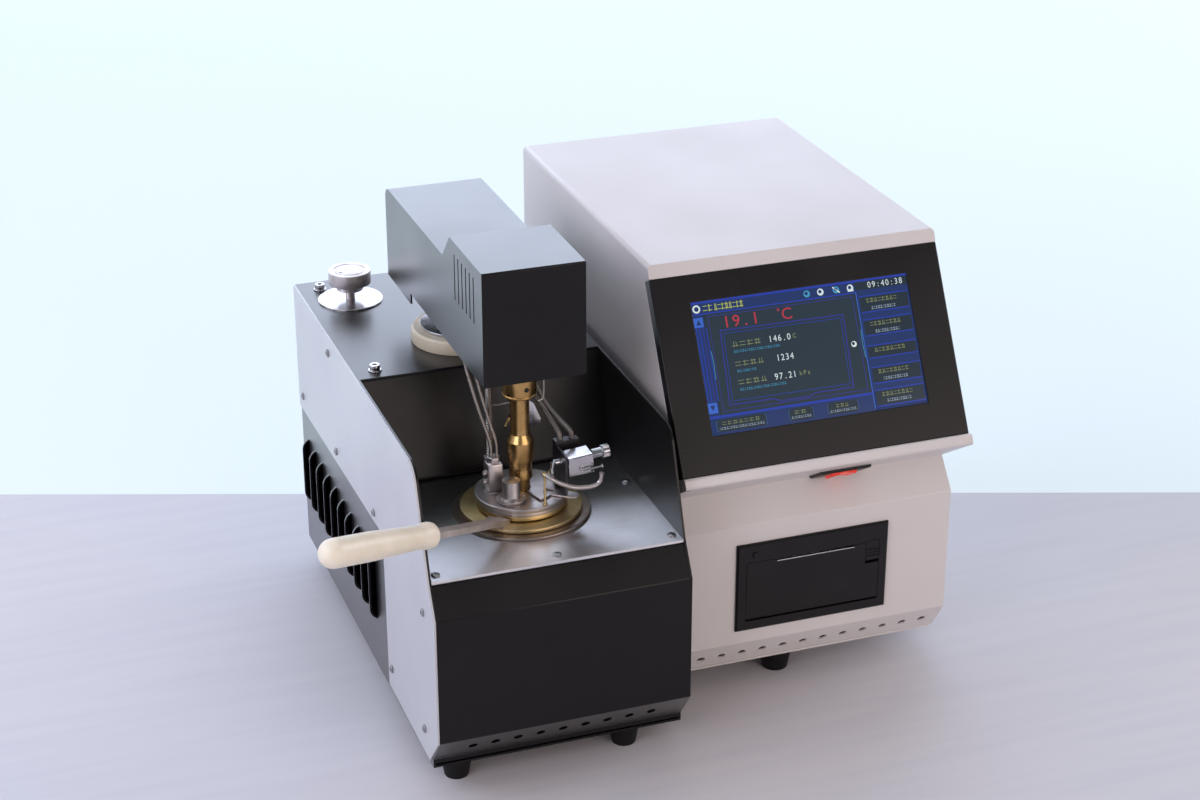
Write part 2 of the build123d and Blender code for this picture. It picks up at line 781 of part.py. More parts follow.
def make_stirrer():
    motor_low = frame_low + frame_thick
    body = upright(cup_x, cup_y, shaft_bottom, motor_low - side_gap, shaft_radius)
    for z, reach, height in ((shaft_bottom + 6, 12.5, 8.0), (cup_rim - 14.5, 9.5, 7.0)):
        body += upright(cup_x, cup_y, z - 4, z + 4, shaft_radius + 1.5)
        for turn in (0, 180):
            blade = Pos((reach + 2) / 2, 0, 0) * Rot(40, 0, 0) * Box(reach - 2, 1.2, height)
            body += Pos(cup_x, cup_y, z) * Rot(0, 0, turn) * blade
    keep("stirrer", body)


def make_connector():
    low = lid_top
    high = lid_top + connector_height
    half = block_side / 2
    body = block((probe_x - half, probe_x + half), (probe_y - half, probe_y + half), (low + 2, high))
    body = chamfer(body.edges().filter_by(Axis.Z), 1.5)
    body += upright(probe_x, probe_y, low, low + 2, half + 1)
    hexagon = Plane(origin=(probe_x, probe_y, high)) * RegularPolygon(4.4, 6)
    body += extrude(hexagon, 4)
    for z in (low + 8, low + 14):
        body += rod((probe_x - half, probe_y, z), (probe_x - half - 2.2, probe_y, z), 1.8)
    body += block((probe_x - 3, probe_x + 4), (probe_y + half, probe_y + half + 7), (low, high))
    keep("probe_connector", body)
    keep("temperature_probe", upright(probe_x, probe_y, probe_bottom + probe_radius, lid_top, probe_radius)
         + Pos(probe_x, probe_y, probe_bottom + probe_radius) * Sphere(probe_radius))
    cable_low = high + 4
    cables = []
    for side in (-1, 1):
        x = probe_x + 1.9 * side
        points = [(x, probe_y - 1, cable_low), (x, probe_y - 1, cable_low + 10),
                  (cup_x - 23 + 2.2 * side, probe_y + 5, cable_low + 32),
                  (cup_x - 27.4 + 2.4 * side, probe_y + 17, frame_low - 9),
                  (cup_x - 27.4 + 2.4 * side, probe_y + 17, frame_low)]
        print("probe cable radii", [round(radius, 1) for radius in soft_radii(points)])
        cables.append(bent_tube(points, soft_radii(points), 1.15))
    keep("probe_cables", *cables)
    ribs = 44
    pitch = (frame_low - high) / ribs
    line = [(1.3, high)]
    for index in range(ribs):
        z = high + index * pitch
        line += [(1.9, z), (2.4, z + 0.3 * pitch), (2.4, z + 0.7 * pitch)]
    line += [(1.9, frame_low), (1.3, frame_low)]
    keep("probe_conduit", turned(probe_x + 0.5, probe_y + half + 3.5, line))


def make_port_cap():
    body = upright(port_x, port_y, lid_top, lid_top + 2, 9.6)
    body += upright(port_x, port_y, lid_top + 2, lid_top + port_height, port_radius)
    body = fillet(body.edges().group_by(Axis.Z)[-1], 0.8)
    for angle in (200, 275, 350):
        turn = math.radians(angle)
        x, y = port_x + 7.7 * math.cos(turn), port_y + 7.7 * math.sin(turn)
        body += upright(x, y, lid_top + 2, lid_top + 3, 1.2)
    keep("port_cap", body)


def make_shutter():
    low = lid_top + side_gap
    high = low + shutter_thick
    inner = column_outline()[0][0] + side_gap
    sector = upright(cup_x, cup_y, low, high, shutter_radius)
    sector -= upright(cup_x, cup_y, low, high, inner)
    wedge_turns = (-74, -42, -10, 24)
    far = 2 * shutter_radius
    wedge = Polyline((0, 0), *[(far * math.cos(math.radians(a)), far * math.sin(math.radians(a)))
                               for a in wedge_turns], close=True)
    sector &= Pos(cup_x, cup_y, low) * extrude(make_face(wedge), shutter_thick)
    lever = block((shutter_radius - 8, lever_reach - lever_width / 2),
                  (-lever_width / 2, lever_width / 2), (low, high))
    lever += upright(lever_reach - lever_width / 2, 0, low, high, lever_width / 2)
    body = sector + Pos(cup_x, cup_y, 0) * Rot(0, 0, lever_angle) * lever
    body -= flame_window(window_angle + shutter_turn, low, high)
    keep("shutter_plate", body)


# ---- Igniter
def on_pivot(shape):
    """Place a shape that is drawn about the pivot, with the pivot along X."""
    return Pos(pivot_x, pivot_y, pivot_z) * Rot(0, -pivot_tilt, 0) * shape


def make_igniter():
    half = igniter_width / 2
    high = igniter_height - igniter_below
    body = block((0.3, igniter_length), (-half, half), (-igniter_below, high))
    body = chamfer(body.edges().filter_by(Axis.X), 0.6)
    body -= rod((igniter_length - 8, 0, 0), (igniter_length, 0, 0), 1.5 + pin_fit)
    body += rod((-bracket_sheet - 2.4, 0, 0), (0.4, 0, 0), 2)
    body += block((-0.5 + 0.8, 3.0), (-half - 1.5, -half + 1), (high - 3.5, high + 1.2))
    body += rod((9, -half, -5.5), (9, -half - 2, -5.5), 1.4)
    body += rod((9, -half - 2, -5.5), (21.5, -half - 2, -5.5), 0.6)
    body += rod((21.5, -half - 2, -5.5), (22.2, -half - 2, -5.5), 1.4)
    keep("igniter_block", on_pivot(body))
    angle = math.radians(-165)
    tip = Vector(-nozzle_side, nozzle_reach * math.cos(angle), nozzle_reach * math.sin(angle))
    start = -bracket_sheet - 2.4
    elbow = Vector(start - 4, 0, 0)
    out = (tip - elbow).normalized()
    neck = tip - out * 4
    tube = bent_tube([(start, 0, 0), tuple(elbow), tuple(neck)], [3.0], nozzle_radius)
    cap = rod(neck, tip, 2.0) - rod(neck, tip, 0.7)
    keep("igniter_nozzle", on_pivot(tube), on_pivot(cap))
    spindle = rod((igniter_length - 7.5, 0, 0), (igniter_length + 1.5, 0, 0), 1.5)
    barrel = rod((igniter_length + 1.2, 0, 0), (igniter_length + 8, 0, 0), needle_radius)
    knob = rod((igniter_length + 8, 0, 0), (igniter_length + 13, 0, 0), needle_cap)
    knob = chamfer(knob.edges().group_by(Axis.X)[-1], 0.5)
    for index in range(12):
        turn = math.radians(30 * index)
        y, z = (needle_cap + 0.2) * math.cos(turn), (needle_cap + 0.2) * math.sin(turn)
        knob -= rod((igniter_length + 8, y, z), (igniter_length + 11.5, y, z), 0.5)
    keep("needle_valve_knob", on_pivot(spindle + barrel + knob))


def make_bracket():
    face = pivot_y + manifold_gap
    plate_x = (pivot_x - bracket_sheet - side_gap, pivot_x - side_gap)
    foot_front = cup_y - 9
    arch = lid_top + side_gap + shutter_thick + 2 * side_gap
    plate = block(plate_x, (pivot_y - 7, face + manifold_depth), (arch, manifold_low + 10))
    plate += block(plate_x, (foot_front, face + manifold_depth), (lid_top, arch))
    plate += block((plate_x[0], plate_x[1] + 3), (foot_front + 1, face), (lid_top, lid_top + 1.2))
    hole = rod((-5, 0, 0), (3, 0, 0), 2 + pin_fit)
    plate -= on_pivot(hole)
    depth = (face, face + manifold_depth)
    body = block((plate_x[0], plate_x[0] + 16), depth, (manifold_low, manifold_high))
    keep("igniter_bracket", plate + body)
    top = manifold_high
    middle = face + manifold_depth / 2
    hoses = []
    for side in (-1, 1):
        x = plate_x[0] + 8 + 4 * side
        high_x, high_y = cup_x + 7 + 5 * side, middle + 33
        points = [(x, middle, top), (x, middle, top + 11), (x - 10 - 3 * side, middle + 17, top + 29),
                  (high_x, high_y, frame_low - 12), (high_x, high_y, frame_low)]
        radii = soft_radii(points)
        print("gas hose radii", [round(r, 1) for r in radii])
        hoses.append(bent_tube(points, radii, 1.9))
    keep("gas_hoses", *hoses)


def make_pilot():
    body = upright(pilot_x, pilot_y, lid_top, pilot_top, 1.0)
    body += upright(pilot_x, pilot_y, lid_top, lid_top + 1.5, 2.0)
    front = pilot_y - 4
    points = [(pilot_x + 0.3, pilot_y - 0.6, pilot_top - 1.2), (pilot_x + 2.5, front, pilot_top - 2.8),
              (pilot_x + 9, front, pilot_top - 7.4), (pilot_x + 18, front, pilot_top - 12),
              (pilot_x + 30, front, pilot_top - 13.2), (pilot_x + 36, front, pilot_top - 11),
              (pilot_x + 37, front, pilot_top - 5.6)]
    loop = bent_tube(points, soft_radii(points), 1.0)
    keep("pilot_tube", body + loop)


# ---- Arm
def arm_line():
    """Outer side line of the arm cover, open at the foot."""
    return [(arm_rear, skirt_low), (arm_rear, arm_top), (step_rear, arm_top),
            (head_rear, head_top), (arm_front, head_top), (arm_front, arm_low)]


def make_arm():
    outer = side_cut(arm_line() + [(skirt_front, arm_low), (skirt_front, skirt_low)], (arm_left, arm_right))
    outer = fillet(outer.edges().filter_by(Axis.X).group_by(Axis.Y)[-1].sort_by(Axis.Z)[-1], arm_corner)
    inner = offset_line(arm_line(), arm_sheet)
    inner[0] = (inner[0][0], skirt_low - 10)
    inner[-1] = (inner[-1][0], skirt_low - 10)
    hollow = side_cut(inner, (arm_left + arm_sheet, arm_right - arm_sheet))
    hollow = fillet(hollow.edges().filter_by(Axis.X).group_by(Axis.Y)[-1].sort_by(Axis.Z)[-1],
                    arm_corner - arm_sheet)
    cover = outer - hollow
    for index in range(slot_count):
        y = slot_first - index * slot_pitch
        cover -= block((arm_left - 1, arm_right + 1), (y - slot_width / 2, y + slot_width / 2),
                       (slot_low, slot_high))
    cover = fillet(cover.edges().filter_by(Axis.X).filter_by(
        lambda edge: edge.length > arm_width - 1 and edge.center().Z > arm_top - 1
        and edge.center().Y < step_rear + 1), 1.0)
    keep("arm_cover", cover)
    wall = (arm_left + arm_sheet, arm_right - arm_sheet)
    plate = block(wall, (arm_front + arm_sheet, arm_rear - arm_sheet), (frame_low, frame_low + frame_thick))
    plate -= upright(cup_x, cup_y, frame_low, frame_low + frame_thick, shaft_radius + 2)
    keep("arm_frame", plate)
    low = frame_low + frame_thick
    motor = upright(cup_x, cup_y, low, low + motor_length, motor_radius)
    motor += upright(cup_x, cup_y, low + motor_length, low + motor_length + 4, 6)
    keep("stirrer_motor", motor)


# ---- Control box
def box_front_line():
    """Outer line of the folded front, from under the screen frame to the foot."""
    tuck = 23.0
    start = (screen_low_y - tuck * slope_z, screen_low_z + tuck * slope_y)
    lip = (screen_low_y + lip_out * slope_z, screen_low_z - lip_out * slope_y)
    chamfer_run = (box_lip - face_y) / face_low
    return [start, lip, (lip_foot_y, lip_foot_z), (eave_y, eave_z), (face_y, face_top),
            (face_y, face_low), (box_lip - chamfer_run * sheet, sheet), (box_lip + box_flange, sheet)]


def screen_place():
    """Frame of the sloping screen: X to the right, Y up the slope, Z outwards."""
    return Plane(origin=(0, screen_low_y, screen_low_z), x_dir=(1, 0, 0), z_dir=(0, slope_z, -slope_y))


def box_side_line():
    """Outline of a side of the cover, set back behind the screen frame and the front sheet."""
    line = box_front_line()
    inner = offset_line(line, sheet)
    setback = (-frame_depth * slope_z, frame_depth * slope_y)
    rear_top = (screen_top_y + setback[0], screen_top_z + setback[1])
    rear_low = (screen_low_y + setback[0], screen_low_z + setback[1])
    run = (inner[-2][0] - inner[-3][0]) / (inner[-3][1] - inner[-2][1])
    foot = (inner[-2][0] + run * inner[-2][1], 0)
    return [(box_rear, 0), (box_rear, box_top), (box_top_front, box_top), (screen_top_y, screen_top_z),
            rear_top, rear_low, line[0]] + inner[:-2] + [foot]


def make_control_cover():
    side = box_side_line()
    rear_top = side[4]
    outer = side_cut(side, (box_left, box_right))
    top_edges = outer.edges().filter_by(Axis.Y).group_by(Axis.Z)[-1]
    outer = fillet(top_edges, box_corner)
    cavity = [(box_rear + 1, -1), (box_rear + 1, box_top - sheet), (box_top_front + 0.6, box_top - sheet),
              (screen_top_y + 2.2, screen_top_z + 0.6), (rear_top[0] + 1.5, rear_top[1] - 3.2),
              (rear_top[0] - 12, rear_top[1] - 12), (0, screen_low_z), (0, -1)]
    outer -= side_cut(cavity, box_inner)
    keep("control_cover", outer)


def make_control_front():
    body = folded_sheet(box_front_line(), sheet, (box_left, box_right))
    for end in ((box_left, box_inner[0]), (box_inner[1], box_right)):
        body -= side_cut(box_side_line(), end)
    first = box_left + box_vent_margin + box_vent_shift
    last = box_right - box_vent_margin + box_vent_shift
    body -= chamfer_holes((face_y, face_low), (box_lip, 0), first, last, box_vents)
    body -= block((printer_left + printer_wall, printer_right - printer_wall), (face_y - 1, face_y + 3),
                  (printer_low + printer_wall, printer_high - printer_wall))
    body -= on_underside(block((-rocker_half - 2, rocker_half + 2),
                               (-rocker_width / 2 - 2, rocker_width / 2 + 2), (-4, 4)))
    notch = box_left + 2.2
    body -= rod((notch, lip_foot_y - 4, lip_foot_z - 1.8), (notch, lip_foot_y + 8, lip_foot_z - 1.8), 1.3)
    keep("control_front", body)


def make_control_base():
    lip = box_front_line()[-2][0]
    body = block(box_inner, (lip, box_rear - sheet), (0, sheet))
    wall = (box_rear - sheet, box_rear)
    body += block(box_inner, wall, (0, box_top - sheet))
    side = (box_lip + box_flange + side_gap, box_rear)
    body += block((box_inner[0], box_inner[0] + sheet), side, (0, flange))
    body += block((box_inner[1] - sheet, box_inner[1]), side, (0, flange))
    body -= block(inlet_span(), (wall[0] - 1, wall[1] + 1), (30, 50))
    for index in range(8):
        z = 120 + 9 * index
        body -= block((60, 160), (wall[0] - 1, wall[1] + 1), (z, z + 3))
    keep("control_base", body)


def inlet_span():
    """X limits of the mains inlet."""
    return box_left + 24, box_left + 52


def make_screen():
    window = (screen_left, screen_right)
    top = slope_length * (1 - screen_start)
    low = top - screen_height
    place = screen_place()
    frame = block((box_left, box_right), (0, slope_length), (-frame_depth, 0))
    frame = fillet(frame.edges().group_by(Axis.Z)[-1], 1.0)
    rebate = 3.5
    glass = 1.5
    frame -= block(window, (low, top), (-frame_depth, 0))
    pocket = (window[0] - rebate, window[1] + rebate), (low - rebate, top + rebate)
    frame -= block(*pocket, (-frame_depth, -glass))
    keep("screen_frame", place.location * frame)
    keep("touch_panel", place.location * block(*pocket, (-frame_depth - 6, -glass)))


# ---- Rocker switch on the underside of the lip
def on_underside(shape):
    """Place a shape on the underside: X along the front, Y towards the lip, Z outwards."""
    origin = (rocker_x, lip_foot_y + under_y * rocker_slope, lip_foot_z + under_z * rocker_slope)
    place = Plane(origin=origin, x_dir=(1, 0, 0), z_dir=(0, under_z, -under_y))
    return place.location * shape


def make_rocker():
    half = bezel_length / 2
    bezel = block((-half, half), (-bezel_width / 2, bezel_width / 2), (0, bezel_rise))
    bezel = chamfer(bezel.edges().group_by(Axis.Z)[-1], 0.8)
    well = rocker_half + side_gap
    bezel += block((-well - 1.5, well + 1.5), (-rocker_width / 2 - 1.5, rocker_width / 2 + 1.5), (-14, 0))
    bezel -= block((-well, well), (-rocker_width / 2 - side_gap, rocker_width / 2 + side_gap), (-10, 8))
    pin = rod((0, -rocker_width / 2 - 1.2, -1), (0, rocker_width / 2 + 1.2, -1), 1.2 + pin_fit)
    keep("rocker_bezel", on_underside(bezel - pin))
    width = (-rocker_width / 2, rocker_width / 2)
    outline = [(-rocker_half, -5), (rocker_half, -5), (rocker_half, 4.5), (0, 2.4), (-rocker_half, 4.5)]
    face = make_face(Polyline(*[(x, width[0], z) for x, z in outline], close=True))
    rocker = extrude(face, rocker_width, dir=(0, 1, 0))
    rocker &= rod((0, width[0], -1), (0, width[1], -1), rocker_half)
    rocker += rod((0, -rocker_width / 2 - 1.1, -1), (0, rocker_width / 2 + 1.1, -1), 1.2)
    keep("rocker_button", on_underside(rocker))


# ---- Panel printer
def make_printer():
    rise = face_y - printer_rise
    outline = (printer_left, printer_right), (printer_low, printer_high)
    bezel = block(outline[0], (rise, face_y), outline[1])
    bezel = chamfer(bezel.edges().group_by(Axis.Y)[0], 1.0)
    rear = face_y + printer_depth
    inner = 2 * printer_wall
    shell = block((printer_left + printer_wall, printer_right - printer_wall), (face_y, rear),
                  (printer_low + printer_wall, printer_high - printer_wall))
    body = bezel + shell
    body -= block((printer_left + inner, printer_right - inner), (face_y + 0.5, rear - printer_wall),
                  (printer_low + inner, door_high))
    body -= block((door_left, door_right), (rise - 1, face_y + 1), (door_low, door_high))
    body -= block((latch_left, door_right), (rise - 1, face_y + 1), (door_high - 1, door_high + 1.3))
    cheek = spindle_radius + pin_fit
    for x in (roll_left - 4.3, roll_left + roll_width + 1.7):
        plate = block((x, x + 2.6), (face_y + 4, rear - printer_wall), (printer_low + inner, door_high))
        body += plate - rod((x, roll_y, roll_z), (x + 2.6, roll_y, roll_z), cheek)
    body -= rod((door_left - 1.5, *door_pin()), (door_right + 1.5, *door_pin()), 1.2 + pin_fit)
    body -= rod((button_x, rise - 1, button_z), (button_x, face_y + 4, button_z), button_radius + pin_fit)
    keep("printer_housing", body)


def door_pin():
    """Y and Z of the hinge line of the printer door."""
    half = door_thick / 2
    return face_y - printer_rise + half, door_low + 0.9 + half


def make_printer_door():
    front = face_y - printer_rise
    half = door_thick / 2
    y, z = door_pin()
    span = (door_left + side_gap, door_right - side_gap)
    body = block(span, (front, front + door_thick), (z, door_high - side_gap))
    body += rod((span[0], y, z), (span[1], y, z), half)
    body += rod((door_left - 1.2, y, z), (door_right + 1.2, y, z), 1.2)
    body -= block((latch_left, door_right), (front - 1, front + 4), (latch_low, door_high))
    body -= block((roll_left, roll_left + roll_width), (front - 1, front + 4), (door_high - 2.2, door_high))
    keep("printer_door", body)
    rest = latch_low + side_gap + latch_travel
    latch = block((latch_left + side_gap, span[1]), (front, front + door_thick), (rest, door_high + 1))
    for index in range(3):
        z = rest + 3 + 2.4 * index
        latch -= block((latch_left, door_right), (front, front + 0.5), (z, z + 1))
    keep("printer_latch", latch)
    ends = [(button_x, y, button_z) for y in (front - button_travel, face_y + 2)]
    button = rod(*ends, button_radius)
    keep("feed_button", fillet(button.edges().group_by(Axis.Y)[0], 0.5))
    ends = (roll_left - 4.0, roll_left + roll_width + 4.0)
    roll = rod((roll_left, roll_y, roll_z), (roll_left + roll_width, roll_y, roll_z), roll_radius)
    roll += rod((ends[0], roll_y, roll_z), (ends[1], roll_y, roll_z), spindle_radius)
    keep("paper_roll", roll)


# ---- What the control box holds
def make_electronics():
    right = box_right - supply_inset
    top = sheet + supply_height
    supply = block((right - supply_width, right), (supply_front, supply_front + supply_depth), (sheet, top))
    for index in range(1, int(supply_depth / supply_pitch)):
        y = supply_front + index * supply_pitch
        supply -= block((right - supply_width + 10, right - 10), (y, y + 4), (top - 2, top + 1))
    keep("power_supply", supply)
    left = box_left + board_inset
    low = sheet + board_rise
    high = low + board_thick
    across = (left, right - supply_width - board_gap)
    along = (board_front, board_front + board_depth)
    board = block(across, along, (low, high))
    for x in (across[0] + 5, across[1] - 5):
        for y in (along[0] + 5, along[1] - 5):
            board += upright(x, y, sheet, low, 3)
    board += block((left + 15, left + 40), (board_front + 30, board_front + 55), (high, high + 3.4))
    board += block((left + 50, left + 72), (board_front + 70, board_front + 100), (high, high + 16.4))
    board += block((left + 10, across[1] - 10), (along[1] - 16, along[1] - 4), (high, high + 10.4))
    keep("main_board", board)
    span = inlet_span()
    inlet = block((span[0] - 8, span[1] + 8), (box_rear, box_rear + 2), (27, 53))
    inlet += block(span, (box_rear - 22, box_rear), (30, 50))
    inlet -= block((span[0] + 2, span[1] - 2), (box_rear - 16, box_rear + 2), (32, 48))
    for x in (-7, 0, 7):
        middle = (span[0] + span[1]) / 2 + x
        z = 43 if x == 0 else 37
        inlet += block((middle - 1, middle + 1), (box_rear - 16, box_rear - 2), (z - 2, z + 2))
    keep("power_inlet", inlet)


# ---- Feet and spacers
def make_supports():
    feet = []
    for x, y in module_feet + box_feet:
        feet.append(turned(x, y, [(0, -foot_height), (foot_bottom, -foot_height), (foot_top, 0), (0, 0)]))
    keep("rubber_feet", *feet)
    keep("module_spacers", *[rod((0, y, z), (box_left, y, z), spacer_radius) for y, z in spacer_spots])


make_front_panel()
make_base_tray()
make_deck_plate()
make_housing_cover()
make_left_side_panel()
make_right_side_panel()
make_side_trim_plate()
make_rear_panel()
make_pan_screws()
make_cap_screws()
make_bath()
make_lift()
make_gas_valve()
make_fan()
make_cup()
make_handle()
make_lid()
make_drive_column()
make_stirrer()
make_connector()
make_port_cap()
make_shutter()
make_igniter()
make_bracket()
make_pilot()
make_arm()
make_control_cover()
make_control_front()
make_control_base()
make_screen()
make_rocker()
make_printer()
make_printer_door()
make_electronics()
make_supports()

# ---- Written with the origin under the middle of the whole part
bounds = Compound(list(nodes.values())).bounding_box()
shift = Vector(-(bounds.min.X + bounds.max.X) / 2, -(bounds.min.Y + bounds.max.Y) / 2, -bounds.min.Z)
print("shift", [round(value, 4) for value in shift])
os.makedirs("parts", exist_ok=True)
for name, shape in nodes.items():
    export_step(Pos(*shift) * shape, f"parts/{name}.step")
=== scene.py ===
import math

import bmesh
import bpy
from mathutils import Matrix, Vector


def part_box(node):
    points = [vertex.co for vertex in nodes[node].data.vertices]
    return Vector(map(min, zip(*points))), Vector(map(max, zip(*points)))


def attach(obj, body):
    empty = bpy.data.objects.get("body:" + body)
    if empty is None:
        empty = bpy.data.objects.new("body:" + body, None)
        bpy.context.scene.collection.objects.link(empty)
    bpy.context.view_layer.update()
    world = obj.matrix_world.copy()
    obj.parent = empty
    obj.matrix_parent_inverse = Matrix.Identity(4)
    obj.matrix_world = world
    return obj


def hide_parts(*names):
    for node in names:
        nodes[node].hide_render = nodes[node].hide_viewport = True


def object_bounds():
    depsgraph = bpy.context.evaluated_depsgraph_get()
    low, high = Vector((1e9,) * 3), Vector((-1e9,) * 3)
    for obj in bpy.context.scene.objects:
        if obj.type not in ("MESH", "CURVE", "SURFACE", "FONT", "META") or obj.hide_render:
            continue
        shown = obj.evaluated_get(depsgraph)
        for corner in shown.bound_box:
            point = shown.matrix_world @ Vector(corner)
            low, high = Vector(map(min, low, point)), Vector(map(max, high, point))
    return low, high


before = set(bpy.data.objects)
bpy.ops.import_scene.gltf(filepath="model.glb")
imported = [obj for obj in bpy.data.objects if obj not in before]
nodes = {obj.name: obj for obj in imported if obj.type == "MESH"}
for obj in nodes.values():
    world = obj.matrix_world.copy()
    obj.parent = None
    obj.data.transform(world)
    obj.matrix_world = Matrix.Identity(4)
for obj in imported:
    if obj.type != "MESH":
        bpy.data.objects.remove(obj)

cad_low, cad_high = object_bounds()

# ---- Table and studio
# The instrument stands on a pale painted table in a bright room. Daylight comes softly from behind
# and above, so that shadows fall towards the front, and the rest of the room fills them.
origin = Vector((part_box("right_side_panel")[1].x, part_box("deck_plate")[0].y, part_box("base_tray")[0].z))


def at(x, y, z):
    """A place in mm from the module's right face, the deck's front edge and the casings' underside."""
    return origin + Vector((x, y, z)) * 0.001


def colour(hex_code):
    """An sRGB hex colour as linear red, green, blue and alpha."""
    parts = [int(hex_code[i:i + 2], 16) / 255 for i in (1, 3, 5)]
    return (*[c / 12.92 if c <= 0.04045 else ((c + 0.055) / 1.055) ** 2.4 for c in parts], 1.0)


def add(tree, kind, inputs=None, **options):
    """Add one shader node; an input is a value, or an output socket to link from."""
    made = tree.nodes.new("ShaderNode" + kind)
    for name, value in options.items():
        setattr(made, name, value)
    for name, value in (inputs or {}).items():
        if isinstance(value, bpy.types.NodeSocket):
            tree.links.new(value, made.inputs[name])
        else:
            made.inputs[name].default_value = value
    return made


def start_material(name):
    """A new material: its node tree, its shader and the mesh coordinates in metres."""
    material = bpy.data.materials.new(name)
    material.use_nodes = True
    tree = material.node_tree
    return material, tree, tree.nodes["Principled BSDF"], add(tree, "TexCoord").outputs["Object"]


def noise(tree, place, scale, detail=2.0):
    """Cloudy noise of 0 to 1, with so many clouds to a metre."""
    return add(tree, "TexNoise", {"Vector": place, "Scale": scale, "Detail": detail}).outputs["Fac"]


def mix_colours(tree, share, first, second):
    """The colour that a share of 0 to 1 picks between two sRGB hex colours."""
    mix = add(tree, "Mix", {"Factor": share}, data_type="RGBA")
    for socket, value in ((6, first), (7, second)):
        if isinstance(value, str):
            mix.inputs[socket].default_value = colour(value)
        else:
            tree.links.new(value, mix.inputs[socket])
    return mix.outputs[2]


def between(tree, value, low, high, start=0.0, end=1.0):
    """A value from start to end turned to one from low to high."""
    made = add(tree, "MapRange", {"Value": value, "From Min": start, "From Max": end,
                                  "To Min": low, "To Max": high})
    return made.outputs["Result"]


def relief(tree, shader, height, strength, depth):
    """Raise the surface by a height of 0 to 1 whose whole depth is given in metres."""
    bump = add(tree, "Bump", {"Height": height, "Strength": strength, "Distance": depth})
    tree.links.new(bump.outputs[0], shader.inputs["Normal"])


def seen_rays(tree):
    """The camera's own rays, and the same together with those that a gloss or a glass sends on."""
    rays = add(tree, "LightPath").outputs
    sent_on = add(tree, "Math", {0: rays["Is Glossy Ray"], 1: rays["Is Transmission Ray"]},
                  operation="MAXIMUM")
    seen = add(tree, "Math", {0: rays["Is Camera Ray"], 1: sent_on.outputs[0]}, operation="MAXIMUM")
    return rays["Is Camera Ray"], seen.outputs[0]


def painted_table():
    """Matt white paint, brushed on by hand: faint long strokes and rubbed patches."""
    material, tree, shader, place = start_material("painted_table")
    strokes = add(tree, "Mapping", {"Vector": place, "Scale": (3, 40, 40)}).outputs[0]
    grain = noise(tree, strokes, 2.0, 5.0)
    patches = noise(tree, place, 1.6, 3.0)
    shade = mix_colours(tree, between(tree, patches, 0, 1, 0.35, 0.65), "#CACDD5", "#D1CED0")
    shade = mix_colours(tree, between(tree, grain, 0, 0.35, 0.4, 0.7), shade, "#C1C1C9")
    tree.links.new(shade, shader.inputs["Base Color"])
    shader.inputs["Roughness"].default_value = 0.6
    relief(tree, shader, grain, 0.2, 0.001)
    return material


def pale_backdrop():
    """White card behind the table, a little brighter to the eye and in reflections than it lights."""
    material, tree, shader, place = start_material("pale_backdrop")
    seen = seen_rays(tree)[1]
    clouds = noise(tree, place, 1.2)
    tree.links.new(mix_colours(tree, clouds, "#B9C3C6", "#B5BFC2"), shader.inputs["Base Color"])
    shader.inputs["Roughness"].default_value = 0.8
    shader.inputs["Emission Color"].default_value = colour("#E8F8FF")
    tree.links.new(between(tree, seen, 0.0, 0.42), shader.inputs["Emission Strength"])
    return material


def flat_sheet(name, corners, material):
    """One flat face of the room round the instrument."""
    data = bpy.data.meshes.new(name)
    data.from_pydata([tuple(c) for c in corners], [], [tuple(range(len(corners)))])
    data.materials.append(material)
    sheet = bpy.data.objects.new(name, data)
    bpy.context.scene.collection.objects.link(sheet)
    return sheet


# The table's rear edge runs a little askew behind the instrument; both sheets reach far past the view.
floor_level = cad_low.z
reach = 6.0
edge_left = Vector((-0.360, 0.3755, floor_level))
edge_right = Vector((0.5418, 0.0543, floor_level))
along_edge = (edge_right - edge_left).normalized() * reach
to_front = Vector((along_edge.y, -along_edge.x, 0))
far_left = edge_left - along_edge
far_right = edge_left + along_edge
table = flat_sheet("table_top", [far_left, far_left + to_front, far_right + to_front, far_right],
                   painted_table())
backdrop = flat_sheet("backdrop", [far_left, far_right, far_right - to_front, far_left - to_front],
                      pale_backdrop())

# The room: a pale wall where the eye and the gloss look, brighter to the rear, and a dimmer fill.
world = bpy.data.worlds.new("room")
bpy.context.scene.world = world
world.use_nodes = True
sky = world.node_tree
sky.nodes.clear()
camera_ray, seen = seen_rays(sky)
way = add(sky, "SeparateXYZ", {0: add(sky, "TexCoord").outputs["Generated"]}).outputs
to_rear = between(sky, way["Y"], 0.20, 1.0, -0.45, 0.2)
lit_side = add(sky, "Math", {0: camera_ray, 1: to_rear}, operation="MAXIMUM").outputs[0]
pale_wall = add(sky, "Background", {"Color": colour("#ECF9FC"), "Strength": lit_side})
room_tint = mix_colours(sky, between(sky, way["Y"], 0.0, 1.0, -0.6, 0.4), "#F6E6E0", "#E3EBFA")
room_light = add(sky, "Background", {"Color": room_tint, "Strength": 0.43})
both = add(sky, "MixShader", {0: seen, 1: room_light.outputs[0], 2: pale_wall.outputs[0]})
add(sky, "OutputWorld", {"Surface": both.outputs[0]})


def soft_lamp(name, place, width, height, watts, tint):
    """A soft box in metres that faces the instrument's middle and isn't seen itself."""
    middle = Vector((0, 0, 0.15))
    data = bpy.data.lights.new(name, "AREA")
    data.shape = "RECTANGLE"
    data.size = width
    data.size_y = height
    data.energy = watts
    data.color = colour(tint)[:3]
    lamp = bpy.data.objects.new(name, data)
    lamp.location = place
    lamp.rotation_euler = (middle - Vector(place)).to_track_quat("-Z", "Y").to_euler()
    lamp.visible_camera = False
    bpy.context.scene.collection.objects.link(lamp)


